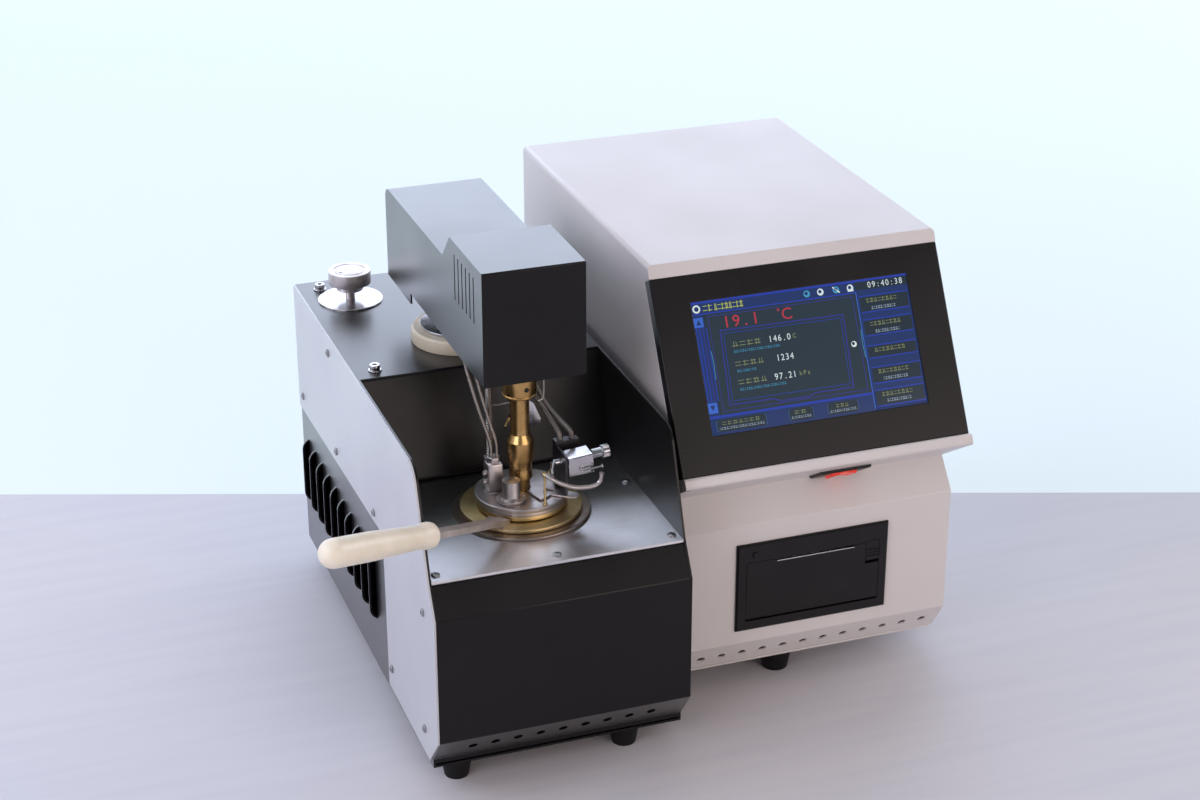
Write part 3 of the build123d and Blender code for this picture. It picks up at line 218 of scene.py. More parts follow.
soft_lamp("rear_window", (0.6, 2.6, 1.35), 4.2, 1.6, 52.0, "#D8E2FF")
soft_lamp("ceiling", (-0.2, 0.5, 2.4), 2.2, 1.6, 3.0, "#EEF4FF")
soft_lamp("left_window", (-1.6, 0.3, 1.3), 1.2, 1.0, 16.0, "#E6EAFF")
soft_lamp("left_wall", (-1.5, -1.0, 1.0), 1.2, 1.0, 12.0, "#EEEAF8")
soft_lamp("right_wall", (2.6, 0.4, 0.9), 1.4, 1.0, 23.0, "#F6F6FF")
soft_lamp("front_wall", (1.35, -3.1, 0.95), 2.6, 1.6, 33.0, "#FFEFE8")

# ---- Camera
# A 72 mm lens on a full frame body stands left of the instrument and looks down on it. Its place was
# solved from the straight edges of both casings: the matrix holds its axes and its place in metres.
camera_data = bpy.data.cameras.new("camera")
camera_data.lens = 71.6
camera_data.sensor_width = 36.0
camera_data.clip_end = 50
camera = bpy.data.objects.new("camera", camera_data)
bpy.context.scene.collection.objects.link(camera)
camera.matrix_world = Matrix(((0.9407, 0.1411, -0.3085, -0.48602),
                              (-0.3392, 0.3914, -0.8554, -1.38604),
                              (0.0, 0.9093, 0.4161, 0.86069),
                              (0, 0, 0, 1)))
bpy.context.scene.camera = camera
bpy.context.scene.view_settings.view_transform = "Standard"

# ---- Test module casing
# Folded steel sheet: tray, front, housing cover, sides and rear are screwed together, and the arm's
# cover is made alike. All have a black powder coat, baked to a satin skin with a fine orange peel.


def dress(node, material):
    """Give a part of the frame its finish."""
    slots = nodes[node].data.materials
    slots.clear()
    slots.append(material)


def soften(node, width):
    """Break the sharp edges of a part by a width in mm, so that they catch the light."""
    piece = nodes[node]
    weld = piece.modifiers.new("weld", "WELD")
    weld.merge_threshold = 0.000005
    flat = piece.modifiers.new("flat", "DECIMATE")
    flat.decimate_type = "DISSOLVE"
    flat.angle_limit = math.radians(0.4)
    bevel = piece.modifiers.new("bevel", "BEVEL")
    bevel.width = width / 1000
    bevel.segments = 2
    bevel.limit_method = "ANGLE"
    bevel.angle_limit = math.radians(40)
    bevel.harden_normals = True
    bevel.use_clamp_overlap = True


def powder_coat(name, base, dust, rough, level, glance, steep=0.70):
    """Baked powder: an orange peel of about 0.8 mm, a breath of dust and faint handling marks.

    Its gloss rises to glance where it is seen at a glance, from the facing that steep gives: there the
    binder at the top of the coat mirrors more than its pigment.
    """
    material, tree, shader, place = start_material(name)
    clouds = noise(tree, place, 14.0, 4.0)
    specks = noise(tree, place, 900.0, 1.0)
    tint = mix_colours(tree, between(tree, clouds, 0, 0.5, 0.35, 0.75), base, dust)
    tint = mix_colours(tree, between(tree, specks, 0, 0.6, 0.7, 0.8), tint, dust)
    tree.links.new(tint, shader.inputs["Base Color"])
    tree.links.new(between(tree, clouds, rough - 0.04, rough + 0.05, 0.3, 0.7), shader.inputs["Roughness"])
    shader.inputs["IOR"].default_value = 1.5
    shader.inputs["Specular IOR Level"].default_value = level
    shader.inputs["Coat IOR"].default_value = 1.8
    shader.inputs["Coat Roughness"].default_value = 0.3
    facing = add(tree, "LayerWeight", {"Blend": 0.5}).outputs["Facing"]
    tree.links.new(between(tree, facing, 0.0, glance, steep - 0.22, steep), shader.inputs["Coat Weight"])
    relief(tree, shader, noise(tree, place, 1250.0), 0.12, 0.0002)
    return material


# A deep neutral black that turns a soft grey at a glance.
black_powder_coat = powder_coat("black_powder_coat", "#0C0A0C", "#151317", 0.32, 0.28, 0.85)
for node in ("front_panel", "housing_cover", "right_side_panel", "left_side_panel", "rear_panel",
             "base_tray", "arm_cover"):
    dress(node, black_powder_coat)
for node in ("front_panel", "housing_cover", "arm_cover", "right_side_panel"):
    soften(node, 0.7)

# ---- Deck
# One stainless sheet, brushed from left to right, laid over the tray and screwed at its edges. The
# hair lines stretch what it mirrors to front and rear.


def brushed_deck_steel():
    """Belt-brushed stainless: hair lines about 0.3 mm apart, drawn coarser than real so that they show."""
    material, tree, shader, place = start_material("brushed_deck_steel")
    along_x = add(tree, "Mapping", {"Vector": place, "Scale": (30, 3000, 3000)}).outputs[0]
    hair = noise(tree, along_x, 1.0, 3.0)
    clouds = noise(tree, place, 30.0, 3.0)
    tint = mix_colours(tree, between(tree, hair, 0, 0.2, 0.3, 0.7), "#F4F1F3", "#8C878A")
    tint = mix_colours(tree, between(tree, clouds, 0, 0.2, 0.4, 0.7), tint, "#9A8F88")
    tree.links.new(tint, shader.inputs["Base Color"])
    shader.inputs["Metallic"].default_value = 1.0
    tree.links.new(between(tree, hair, 0.32, 0.41, 0.3, 0.7), shader.inputs["Roughness"])
    shader.inputs["Anisotropic"].default_value = 0.88
    grain_way = add(tree, "Tangent", direction_type="RADIAL", axis="Y")
    tree.links.new(grain_way.outputs[0], shader.inputs["Tangent"])
    relief(tree, shader, hair, 0.1, 0.0001)
    return material


# Silver with broad soft lights and darks, where the lid group and the housing are mirrored in streaks.
dress("deck_plate", brushed_deck_steel())
soften("deck_plate", 0.5)

# ---- Trim plate
# A flat sheet with a satin white coat, cut to follow the casing's slope and fixed over the left side
# panel with pan-head screws. To the eye it is a cool light grey, a shade darker than the control box.
white_trim_coat = powder_coat("white_trim_coat", "#BFC0C4", "#B5B6BC", 0.35, 0.4, 0.6)
dress("side_trim_plate", white_trim_coat)

# ---- Screws
# Pan-head screws hold the trim plate, the deck and the sides; socket cap screws on washers hold the
# housing cover. Both are turned from stainless bar and polished by tumbling.


def machined_metal(name, base, dark, rough):
    """Turned or milled metal: a soft tarnish in clouds and tool marks about 0.6 mm apart."""
    tool_marks = 0.6
    material, tree, shader, place = start_material(name)
    clouds = noise(tree, place, 90.0, 4.0)
    tint = mix_colours(tree, between(tree, clouds, 0, 0.7, 0.35, 0.75), base, dark)
    tree.links.new(tint, shader.inputs["Base Color"])
    shader.inputs["Metallic"].default_value = 1.0
    tree.links.new(between(tree, clouds, rough - 0.04, rough + 0.07, 0.3, 0.7), shader.inputs["Roughness"])
    across = add(tree, "Mapping", {"Vector": place, "Scale": (60, 60, 1000 / tool_marks)}).outputs[0]
    relief(tree, shader, noise(tree, across, 1.0), 0.15, 0.0001)
    return material


# Bright silver with sharp lights, and a greyer, softer one for the small heads.
polished_steel = machined_metal("polished_steel", "#C6C4C8", "#9E999B", 0.18)
dull_screw_steel = machined_metal("dull_screw_steel", "#B4B1B5", "#858286", 0.26)
dress("pan_screws", dull_screw_steel)
dress("cap_screws", polished_steel)
soften("pan_screws", 0.25)
soften("cap_screws", 0.3)

# ---- Heating bath
# A turned steel ring lies round the cup's well, on a heated block below the deck that the cup hangs
# in. Heat has browned the ring to a warm grey that mirrors only softly.
heated_steel = machined_metal("heated_steel", "#A0928A", "#7A6C67", 0.34)
for node in ("bath_ring", "bath_block"):
    dress(node, heated_steel)
soften("bath_ring", 0.4)

# ---- Arm lift
# An ivory nylon bearing on the housing, held by a thin steel clamp ring, guides the chromed lift tube.
# A geared motor in a zinc casing turns the lead screw below it.


def moulded_plastic(name, base, shade, rough, grain=0.5, through=0.0, level=0.5):
    """Injection moulded plastic: a fine spark-eroded grain, given in mm, and faint flow marks."""
    material, tree, shader, place = start_material(name)
    clouds = noise(tree, place, 40.0, 3.0)
    tint = mix_colours(tree, between(tree, clouds, 0, 1, 0.3, 0.7), base, shade)
    tree.links.new(tint, shader.inputs["Base Color"])
    tree.links.new(between(tree, clouds, rough - 0.03, rough + 0.05, 0.3, 0.7), shader.inputs["Roughness"])
    shader.inputs["IOR"].default_value = 1.5
    shader.inputs["Specular IOR Level"].default_value = level
    shader.inputs["Subsurface Weight"].default_value = through
    shader.inputs["Subsurface Scale"].default_value = 0.003
    relief(tree, shader, noise(tree, place, 1000 / grain), 0.1, 0.0001)
    return material


# A soft warm beige that lets a little light in, a mirror for the tube, and a dull grey for the castings.
cream_nylon = moulded_plastic("cream_nylon", "#CFC6B2", "#BFB59E", 0.4, grain=0.8, through=0.1)
chrome_steel = machined_metal("chrome_steel", "#D5D5D8", "#B4B3B6", 0.1)
cast_zinc = machined_metal("cast_zinc", "#9A9BA0", "#7C7D82", 0.42)
dress("bearing_flange", cream_nylon)
dress("clamp_plate", polished_steel)
dress("lift_motor", cast_zinc)
dress("lift_tube", chrome_steel)
dress("lift_screw", chrome_steel)
soften("bearing_flange", 0.6)
soften("clamp_plate", 0.25)

# ---- Gas valve and fan
# A polished escutcheon sits on the housing over the valve's body, and on its spindle a turned steel
# knob with a ring and a pointer dot in its top. A moulded fan blows through the rear panel's grille.


def eased(line, soft, closed):
    """A profile whose corners are rounded by a length in mm; the ends of an open one stay."""
    out = []
    last = len(line) - 1
    for index, point in enumerate(line):
        before, after = line[index - 1], line[(index + 1) % len(line)]
        if not closed and index in (0, last):
            out.append(point)
            continue
        runs = math.dist(point, before), math.dist(point, after)
        cut = min(soft, 0.4 * runs[0], 0.4 * runs[1])
        first = [p + (b - p) * cut / runs[0] for p, b in zip(point, before)]
        second = [p + (a - p) * cut / runs[1] for p, a in zip(point, after)]
        middle = [0.25 * f + 0.5 * p + 0.25 * g for f, p, g in zip(first, point, second)]
        out += [first, middle, second]
    return out


def turned(line, foot, way=(0, 0, 1), sides=72, soft=0.3, closed=False, flats=0.0, grooves=(0, 0.0)):
    """A form turned round an axis from foot, from (radius, height) points in mm.

    What lies closer to the axis than flats gets six flats, and grooves cuts so many to a depth in mm.
    """
    shape = bmesh.new()
    spin = Vector((0, 0, 1)).rotation_difference(Vector(way)).to_matrix()
    skin = 0.9 * max(radius for radius, height in line)
    rows = []
    for radius, height in eased(line, soft, closed):
        row = []
        for index in range(sides if radius > 1e-6 else 1):
            angle = 2 * math.pi * index / sides
            out = radius
            if radius < flats:
                out *= math.cos(math.pi / 6) / math.cos(angle % (math.pi / 3) - math.pi / 6)
            if grooves[0] and radius > skin:
                out -= grooves[1] * max(0.0, math.cos(grooves[0] * angle)) ** 3
            spot = Vector((out * math.cos(angle), out * math.sin(angle), height))
            row.append(shape.verts.new(at(*foot) + spin @ spot * 0.001))
        rows.append(row)
    for low, high in zip(rows, rows[1:] + rows[:1] if closed else rows[1:]):
        for index in range(sides):
            after = (index + 1) % sides
            ring = [low[index % len(low)], low[after % len(low)],
                    high[after % len(high)], high[index % len(high)]]
            ring = list(dict.fromkeys(ring))
            if len(ring) > 2:
                shape.faces.new(ring)
    return shape


def put_on(name, data, body, materials, stands_for):
    """Set a finished mesh on its body, in place of the parts that it stands for."""
    for material in materials:
        data.materials.append(material)
    piece = bpy.data.objects.new(name, data)
    bpy.context.scene.collection.objects.link(piece)
    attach(piece, body)
    if stands_for:
        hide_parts(*stands_for)


def assemble(name, shapes, body, materials, stands_for, sharp=35):
    """One piece out of shapes; each is a mesh, or a pair of a mesh and the number of its material."""
    whole = bmesh.new()
    for shape in shapes:
        shape, number = shape if isinstance(shape, tuple) else (shape, 0)
        bmesh.ops.recalc_face_normals(shape, faces=shape.faces)
        for face in shape.faces:
            face.material_index = number
            face.smooth = True
        carried = bpy.data.meshes.new("carried")
        shape.to_mesh(carried)
        shape.free()
        whole.from_mesh(carried)
        bpy.data.meshes.remove(carried)
    data = bpy.data.meshes.new(name)
    whole.to_mesh(data)
    whole.free()
    data.set_sharp_from_angle(angle=math.radians(sharp))
    put_on(name, data, body, materials, stands_for)


# The knob's steel is stained where fingers turn it; the plastic is a plain satin black.
stained_steel = machined_metal("stained_steel", "#D6D0D1", "#A3928E", 0.42)
black_abs = moulded_plastic("black_abs", "#100E0F", "#181517", 0.34, level=0.3)
valve = (-138.0, 300.0, 0.0)
knob_line = [(0, 186), (3.35, 186), (3.35, 212), (9.5, 212), (9.5, 217), (15, 217), (15, 226.5),
             (11.2, 226.5), (11.2, 226.0), (10.4, 226.0), (10.4, 226.5), (0, 226.5)]
dot_line = [(0, 226.3), (1.1, 226.3), (1.1, 226.53), (0, 226.53)]
pointer_dot = turned(dot_line, (valve[0] - 7, valve[1] - 3, 0), soft=0.05)
assemble("turned_gas_knob", [turned(knob_line, valve, sides=120, soft=0.6), (pointer_dot, 1)], "gas_knob",
         [stained_steel, black_abs], ["gas_knob"])
dress("gas_valve", polished_steel)
dress("fan_frame", black_abs)
dress("fan_rotor", black_abs)

# ---- Cup
# Turned brass, lacquer gone and a little tarnished: a deep cup under a wide flange. A steel bar is
# screwed to the flange, and a tapered ivory grip is pushed on the bar for lifting the cup out.
cup_axis = (-85.0, 75.0, 0.0)
cup_line = [(0, 89.0), (27, 89.0), (27, 138.4), (39.7, 138.4), (39.7, 141.2), (27, 141.2), (27, 147.5),
            (25.4, 147.5), (25.4, 91.6), (0, 91.6)]
# A pale dry yellow with soft lights, browner in clouds.
old_brass = machined_metal("old_brass", "#DCC596", "#B39B6C", 0.38)
assemble("turned_cup", [turned(cup_line, cup_axis, sides=160, soft=0.5)], "cup", [old_brass], ["cup"])

# The bar is grey-brown and nearly matt from heat.
scaled_steel = machined_metal("scaled_steel", "#D6C8C0", "#AD9B94", 0.5)
dress("cup_handle", scaled_steel)
soften("cup_handle", 0.6)

grip_rise, grip_turn = math.radians(17.7), math.radians(218)
grip_way = Vector((math.cos(grip_rise) * math.cos(grip_turn), math.cos(grip_rise) * math.sin(grip_turn),
                   math.sin(grip_rise)))
grip_foot = (-105.09, 48.82, 143.5)
grip_round, round_start = 8.9, 179.8
grip_line = [(0, 82.0), (7.2, 82.0), (8.4, 83.6), (8.4, 88.6), (7.4, 94.0), (8.0, 115.0), (grip_round, 142.0)]
for degrees in range(0, 90, 15):
    grip_line.append((grip_round * math.cos(math.radians(degrees)),
                      round_start + grip_round * math.sin(math.radians(degrees))))
grip_line.append((0, 188.7))
# A warm near-white whose edges glow a little, as bone does.
ivory_nylon = moulded_plastic("ivory_nylon", "#F6EFDE", "#E9E0CA", 0.34, grain=0.8, through=0.15)
assemble("turned_grip", [turned(grip_line, grip_foot, grip_way, sides=64, soft=1.2)], "cup", [ivory_nylon],
         ["cup_grip"], 60)

# ---- Lid group
# A steel lid with a brass rim hangs from the arm on a turned brass column. Round it stand the probe's
# connector, a port cap, the shutter and the gas igniter with its needle valve.
lid_top, arm_under = 150.8, 244.0
# Warm silver with wide soft lights, and a dark burnt grey for the bracket near the flame.
satin_steel = machined_metal("satin_steel", "#CAC2C1", "#A39A98", 0.37)
blackened_steel = machined_metal("blackened_steel", "#565256", "#3A373A", 0.38)
for node in ("lid_disc", "temperature_probe", "stirrer", "shutter_plate"):
    dress(node, satin_steel)
for node in ("arm_frame", "stirrer_motor"):
    dress(node, cast_zinc)
dress("igniter_block", polished_steel)
dress("igniter_bracket", blackened_steel)
soften("lid_disc", 0.35)
soften("shutter_plate", 0.2)
soften("igniter_block", 0.35)
soften("igniter_bracket", 0.25)

# The rim: a brass ring that meets the cup, and a steel one pressed on it under the lid.
brass_ring = [(28.2, 142.4), (29.8, 142.4), (29.8, 145.2), (28.2, 145.2)]
steel_ring = [(28.2, 145.2), (29.8, 145.2), (29.8, 147.8), (28.2, 147.8)]
assemble("turned_rim", [turned(brass_ring, cup_axis, sides=160, soft=0.25, closed=True),
                        (turned(steel_ring, cup_axis, sides=160, soft=0.15, closed=True), 1)],
         "arm", [old_brass, satin_steel], ["lid_rim"])

# The column, with a near-black disc in its collar that paints the shade inside a set screw's hole. Its brass
# is a fresher, redder gold.
bright_brass = machined_metal("bright_brass", "#CFA96F", "#A8814F", 0.27)
# Painted shade: a near-black matt finish for the shade inside the set screw's hole.
painted_hole_shade = moulded_plastic("painted_hole_shade", "#0A090A", "#100E10", 0.6)
column_line = [(6, lid_top), (6, 160.2), (7.8, 160.2), (7.2, 166.5), (7.8, 172.8), (8.7, 172.8),
               (8.7, 185.9), (6.2, 191.0), (6.2, 217.7), (10.2, 217.7), (11, 218.5), (11, 219.3),
               (10.6, 219.5), (10.6, 219.8), (11, 220.0), (11, arm_under), (3.8, arm_under), (3.8, lid_top)]
way_out = Vector((0.12, -0.9928, 0))
hole_reach = 10.2
hole_foot = (cup_axis[0] + hole_reach * way_out.x, cup_axis[1] + hole_reach * way_out.y, 225.0)
# Painted shade: this disc stands a little proud of the collar and is coloured as the hole's shade.
hole_shade_disc = turned([(0, 0), (1.6, 0), (1.6, 0.92), (0, 0.92)], hole_foot, way_out, sides=32, soft=0.1)
assemble("turned_column", [turned(column_line, cup_axis, sides=96, soft=0.35, closed=True), (hole_shade_disc, 1)],
         "arm", [bright_brass, painted_hole_shade], ["drive_column"])

# The capped port: a flange on the lid with three socket screws.
port = (-95.7, 61.7, 0.0)
port_line = [(0, lid_top), (8.8, lid_top), (8.8, 151.7), (9.6, 151.7), (9.6, 153.3), (5.8, 153.3),
             (5.8, 165.0), (0, 165.0)]
port_shapes = [turned(port_line, port)]
port_screw = [(0, 153.2), (1.2, 153.2), (1.2, 154.2), (0.7, 154.2), (0.7, 153.7), (0, 153.7)]
screw_circle = 7.7
for angle in (200, 275, 350):
    screw_foot = (port[0] + screw_circle * math.cos(math.radians(angle)),
                  port[1] + screw_circle * math.sin(math.radians(angle)), 0)
    port_shapes.append(turned(port_screw, screw_foot, sides=30, soft=0.15, flats=0.9))
assemble("turned_port_cap", port_shapes, "arm", [satin_steel], ["port_cap"])


def block(low, high, soft, place=None):
    """A block between two corners in mm with broken edges; place turns its points to working ones."""
    shape = bmesh.new()
    bmesh.ops.create_cube(shape, size=1)
    for vert in shape.verts:
        vert.co = Vector([a + (c + 0.5) * (b - a) for a, b, c in zip(low, high, vert.co)])
    bmesh.ops.bevel(shape, geom=shape.edges[:], offset=soft, segments=2, profile=0.5, affect="EDGES")
    for vert in shape.verts:
        vert.co = at(*(place(*vert.co) if place else vert.co))
    return shape


# The probe's connector: a milled body on a round foot, its gland nut, a side block and two screws.
probe_x, probe_y = -102.5, 77.5
body_low, body_top, gland_top = 152.8, 171.8, 175.8
base_line = [(0, lid_top), (6, lid_top), (6, body_low), (0, body_low)]
gland_line = [(0, body_top), (4.4, body_top), (4.4, gland_top), (3.4, 176.1), (0, 176.1)]
connector = [block((probe_x - 5, probe_y - 5, body_low), (probe_x + 5, probe_y + 5, body_top), 1.1),
             turned(base_line, (probe_x, probe_y, 0), soft=0.4),
             turned(gland_line, (probe_x, probe_y, 0), sides=36, soft=0.4, flats=9),
             block((probe_x - 3, probe_y + 5, lid_top), (probe_x + 4, probe_y + 12, body_top), 0.5)]
side_screw = [(0, 0), (1.8, 0), (1.8, 2.2), (0.8, 2.2), (0.8, 1.4), (0, 1.4)]
for z in (158.8, 164.8):
    connector.append(turned(side_screw, (probe_x - 5, probe_y, z), (-1, 0, 0), sides=30, soft=0.25,
                            flats=1.0))
assemble("machined_connector", connector, "arm", [satin_steel], ["probe_connector"])

# The conduit: ribbed steel hose, a warm mid grey that darkens between the ribs.
rib_count, conduit_long = 44, 72.2
pitch = conduit_long / rib_count
ribs = [(1.3, body_top)]
for index in range(rib_count):
    z = body_top + index * conduit_long / rib_count
    ribs += [(1.9, z + 0.05 * pitch), (2.4, z + 0.3 * pitch),
             (2.4, z + 0.65 * pitch), (1.9, z + 0.92 * pitch)]
ribs += [(1.9, arm_under), (1.3, arm_under)]
grey_conduit = machined_metal("grey_conduit", "#8F8782", "#6C6460", 0.38)
assemble("ribbed_conduit", [turned(ribs, (-102.0, 86.0, 0), sides=24, closed=True)], "arm",
         [grey_conduit], ["probe_conduit"], 70)


def braided_steel(name, base, dark, strands, pitch, rough):
    """Wire braid over a hose: crossing bundles, so many round it, each turning once in a pitch in mm. Painted
    shade: the hollows between the bundles are tinted towards dark.
    """
    material, tree, shader, place = start_material(name)
    run = add(tree, "SeparateXYZ", {0: add(tree, "UVMap", uv_map="run").outputs[0]}).outputs
    along = add(tree, "Math", {0: run["Y"], 1: 1 / pitch}, operation="MULTIPLY").outputs[0]
    around = add(tree, "Math", {0: run["X"], 1: strands}, operation="MULTIPLY").outputs[0]
    waves = []
    for operation in ("ADD", "SUBTRACT"):
        turn = add(tree, "Math", {0: around, 1: along}, operation=operation).outputs[0]
        turn = add(tree, "Math", {0: turn, 1: 2 * math.pi}, operation="MULTIPLY").outputs[0]
        waves.append(add(tree, "Math", {0: turn}, operation="SINE").outputs[0])
    weave_height_and_shade = add(tree, "Math", {0: waves[0], 1: waves[1]}, operation="MULTIPLY").outputs[0]
    # Painted shade: the weave's low parts, its hollows, take the dark colour.
    tint = mix_colours(tree, between(tree, weave_height_and_shade, 0, 1, -0.5, 0.6), dark, base)
    tree.links.new(tint, shader.inputs["Base Color"])
    shader.inputs["Metallic"].default_value = 1.0
    shader.inputs["Roughness"].default_value = rough
    relief(tree, shader, weave_height_and_shade, 0.5, 0.0002)
    return material


def rounded_route(corners):
    """The line through corners in mm, with each turn spread over a share of the shorter run beside it."""
    share, steps, stride = 0.45, 8, 1.5
    points = [Vector(c) for c in corners]
    route = [points[0]]
    for before, point, after in zip(points, points[1:], points[2:]):
        cut = share * min((before - point).length, (after - point).length)
        first = point + (before - point).normalized() * cut
        second = point + (after - point).normalized() * cut
        for step in range(steps + 1):
            t = step / steps
            route.append(first * (1 - t) ** 2 + point * 2 * t * (1 - t) + second * t ** 2)
    route.append(points[-1])
    dense = [route[0]]
    for point in route[1:]:
        start = dense[-1]
        count = max(1, round((point - start).length / stride))
        dense += [start + (point - start) * (i + 1) / count for i in range(count)]
    return dense


def tube(name, routes, radius, body, material, stands_for):
    """Round bars, wires or hoses along their routes; the UV map runs once round and in mm along."""
    sides = 20
    shape = bmesh.new()
    laid = shape.loops.layers.uv.new("run")
    for corners in routes:
        route = rounded_route(corners)
        side = None
        rows = []
        length = 0.0
        for index, point in enumerate(route):
            ahead = (route[min(index + 1, len(route) - 1)] - route[max(index - 1, 0)]).normalized()
            if side is None:
                side = ahead.orthogonal().normalized()
            side = (side - ahead * side.dot(ahead)).normalized()
            other = ahead.cross(side)
            if index:
                length += (point - route[index - 1]).length
            ring = []
            for turn in range(sides):
                angle = 2 * math.pi * turn / sides
                spot = point + (side * math.cos(angle) + other * math.sin(angle)) * radius
                ring.append(shape.verts.new(at(*spot)))
            rows.append((ring, length))
        for (low, low_run), (high, high_run) in zip(rows, rows[1:]):
            for turn in range(sides):
                after = (turn + 1) % sides
                face = shape.faces.new([low[turn], low[after], high[after], high[turn]])
                face.smooth = True
                runs = ((turn, low_run), (turn + 1, low_run), (turn + 1, high_run), (turn, high_run))
                for loop, (across, along) in zip(face.loops, runs):
                    loop[laid].uv = (across / sides, along)
        shape.faces.new(list(reversed(rows[0][0])))
        shape.faces.new(rows[-1][0])
    bmesh.ops.recalc_face_normals(shape, faces=shape.faces)
    data = bpy.data.meshes.new(name)
    shape.to_mesh(data)
    shape.free()
    data.set_sharp_from_angle(angle=math.radians(50))
    put_on(name, data, body, [material], stands_for)


# Screened cables from the gland and gas hoses from the manifold go up into the arm. Their braid is a
# sparkling mid grey, with shade painted dark in the hollows where the strands cross.
cable_braid = braided_steel("cable_braid", "#C2BAB4", "#5E5650", 4, 1.6, 0.34)
tube("braided_cables",
     [[(probe_x + 1.9 * side, probe_y - 1, gland_top), (probe_x + 1.9 * side, probe_y - 1, gland_top + 10),
       (-108 + 2.2 * side, probe_y + 5, gland_top + 32), (-112.4 + 2.4 * side, probe_y + 17, arm_under - 9),
       (-112.4 + 2.4 * side, probe_y + 17, arm_under)] for side in (-1, 1)],
     1.15, "arm", cable_braid, ["probe_cables"])
hose_braid = braided_steel("hose_braid", "#A7A19D", "#4B4542", 6, 2.2, 0.36)
tube("braided_hoses",
     [[(x, 74.6, 181.5), (x, 75.2, 186.0), (x - 10 - 3 * side, 91.0, 201.5), (-78 + 5 * side, 107.6, 232.0),
       (-78 + 5 * side, 107.6, arm_under)] for side, x in ((-1, -58.3), (1, -50.3))],
     1.9, "arm", hose_braid, ["gas_hoses"])

pivot = (-60.5, 59.0, 174.5)
tilt = math.radians(5)


def on_pivot(x, y, z):
    """A place drawn about the igniter's pivot, which runs along X, in working mm."""
    return (pivot[0] + x * math.cos(tilt) - z * math.sin(tilt), pivot[1] + y,
            pivot[2] + x * math.sin(tilt) + z * math.cos(tilt))


# The needle valve's knob: a stem, a collar and a head with eighteen grip grooves.
needle_line = [(0, 9.6), (1.5, 9.6), (1.5, 18.2), (3.0, 18.2), (3.0, 25.0), (4.25, 25.0), (4.25, 30.0),
               (0, 30.0)]
needle_way = (math.cos(tilt), 0, math.sin(tilt))
needle_knob = turned(needle_line, on_pivot(0, 0, 0), needle_way, sides=144, soft=0.4, grooves=(18, 0.35))
assemble("grooved_needle_knob", [needle_knob], "needle_valve", [polished_steel], ["needle_valve_knob"])

# ---- Gas loop and nozzle
# The pilot stands on a brass rod; a bent satin tube runs from it past the igniter block, and a polished
# tube with a thicker tip, fixed to the block's pivot, is what dips to the cup.
pilot_x, pilot_y = -77.6, 48.0
rod_line = [(0, lid_top), (1.7, lid_top), (1.7, 152.0), (0.85, 152.3), (0.85, 172.6), (0, 173.4)]
jet_line = [(0, 0), (1.7, 0), (1.7, 3.2), (0, 3.2)]
pilot_shapes = [turned(rod_line, (pilot_x, pilot_y, 0), sides=32),
                turned(jet_line, (pilot_x - 0.2, pilot_y + 1.0, 172.3), (0.15, -1, -0.1), sides=32, soft=0.4)]
assemble("pilot_rod", pilot_shapes, "arm", [old_brass], ["pilot_tube"])

loop_y = 44.0
loop_route = [(pilot_x + 0.3, pilot_y - 1.2, 172.4)]
for x, z in ((2.5, 170.8), (9, 166.2), (18, 161.6), (30, 160.4), (36, 162.6), (37, 169.4)):
    loop_route.append((pilot_x + x, loop_y, z))
tube("gas_loop", [loop_route], 1.5, "arm", satin_steel, ())

drop = math.radians(-165)
nozzle_reach = 11.5
tip = Vector((-13.5, nozzle_reach * math.cos(drop), nozzle_reach * math.sin(drop)))
elbow = Vector((-7.9, 0, 0))
neck = tip - (tip - elbow).normalized() * 4
tube("nozzle_tube", [[on_pivot(-3.9, 0, 0), on_pivot(*elbow), on_pivot(*neck)]], 1.9, "igniter",
     polished_steel, ["igniter_nozzle"])
tip_line = [(0, -0.6), (2.0, -0.6), (2.7, 0.4), (2.7, 4.0), (0.9, 4.0), (0.9, 2.0), (0, 2.0)]
tip_way = Vector(on_pivot(*tip)) - Vector(on_pivot(*neck))
assemble("nozzle_tip", [turned(tip_line, on_pivot(*neck), tip_way, sides=40)], "igniter", [polished_steel],
         ())

# ---- Small parts behind the column
# A bent wire hook and a thin polished bracket hang from the arm's frame, and a short clip of the same
# satin wire ties the conduit to them.
hook_route = [(-64.4, 88.0, arm_under), (-64.4, 88.0, 212.0), (-65.0, 87.5, 206.5), (-69.0, 87.0, 205.6)]
tube("wire_hook", [hook_route], 0.7, "arm", satin_steel, ())
clip_route = [(-100.0, 86.0, 208.0), (-96.0, 86.6, 206.9), (-87.0, 90.4, 205.6)]
tube("clip_wire", [clip_route], 0.5, "arm", satin_steel, ())


def sheet_part(outline, level, thick):
    """A flat sheet standing across the view: (x, z) points in mm, from level along Y."""
    shape = bmesh.new()
    sides = [[shape.verts.new(at(x, y, z)) for x, z in outline] for y in (level, level + thick)]
    shape.faces.new(sides[0])
    shape.faces.new(sides[1])
    for index in range(len(outline)):
        after = (index + 1) % len(outline)
        shape.faces.new([sides[0][index], sides[0][after], sides[1][after], sides[1][index]])
    return shape


bracket_outline = [(-81.5, arm_under), (-81.5, 211.0), (-88.8, 214.5), (-88.4, 209.0), (-85.6, 200.0),
                   (-88.0, 196.5), (-91.2, 188.5), (-89.9, 188.0), (-86.4, 194.6), (-83.0, 197.6),
                   (-73.0, 186.9), (-66.2, 186.9), (-66.1, 191.6), (-70.8, 203.0), (-76.0, 207.0),
                   (-76.0, arm_under)]
assemble("polished_bracket", [sheet_part(bracket_outline, 90.0, 0.9)], "arm", [chrome_steel], ())

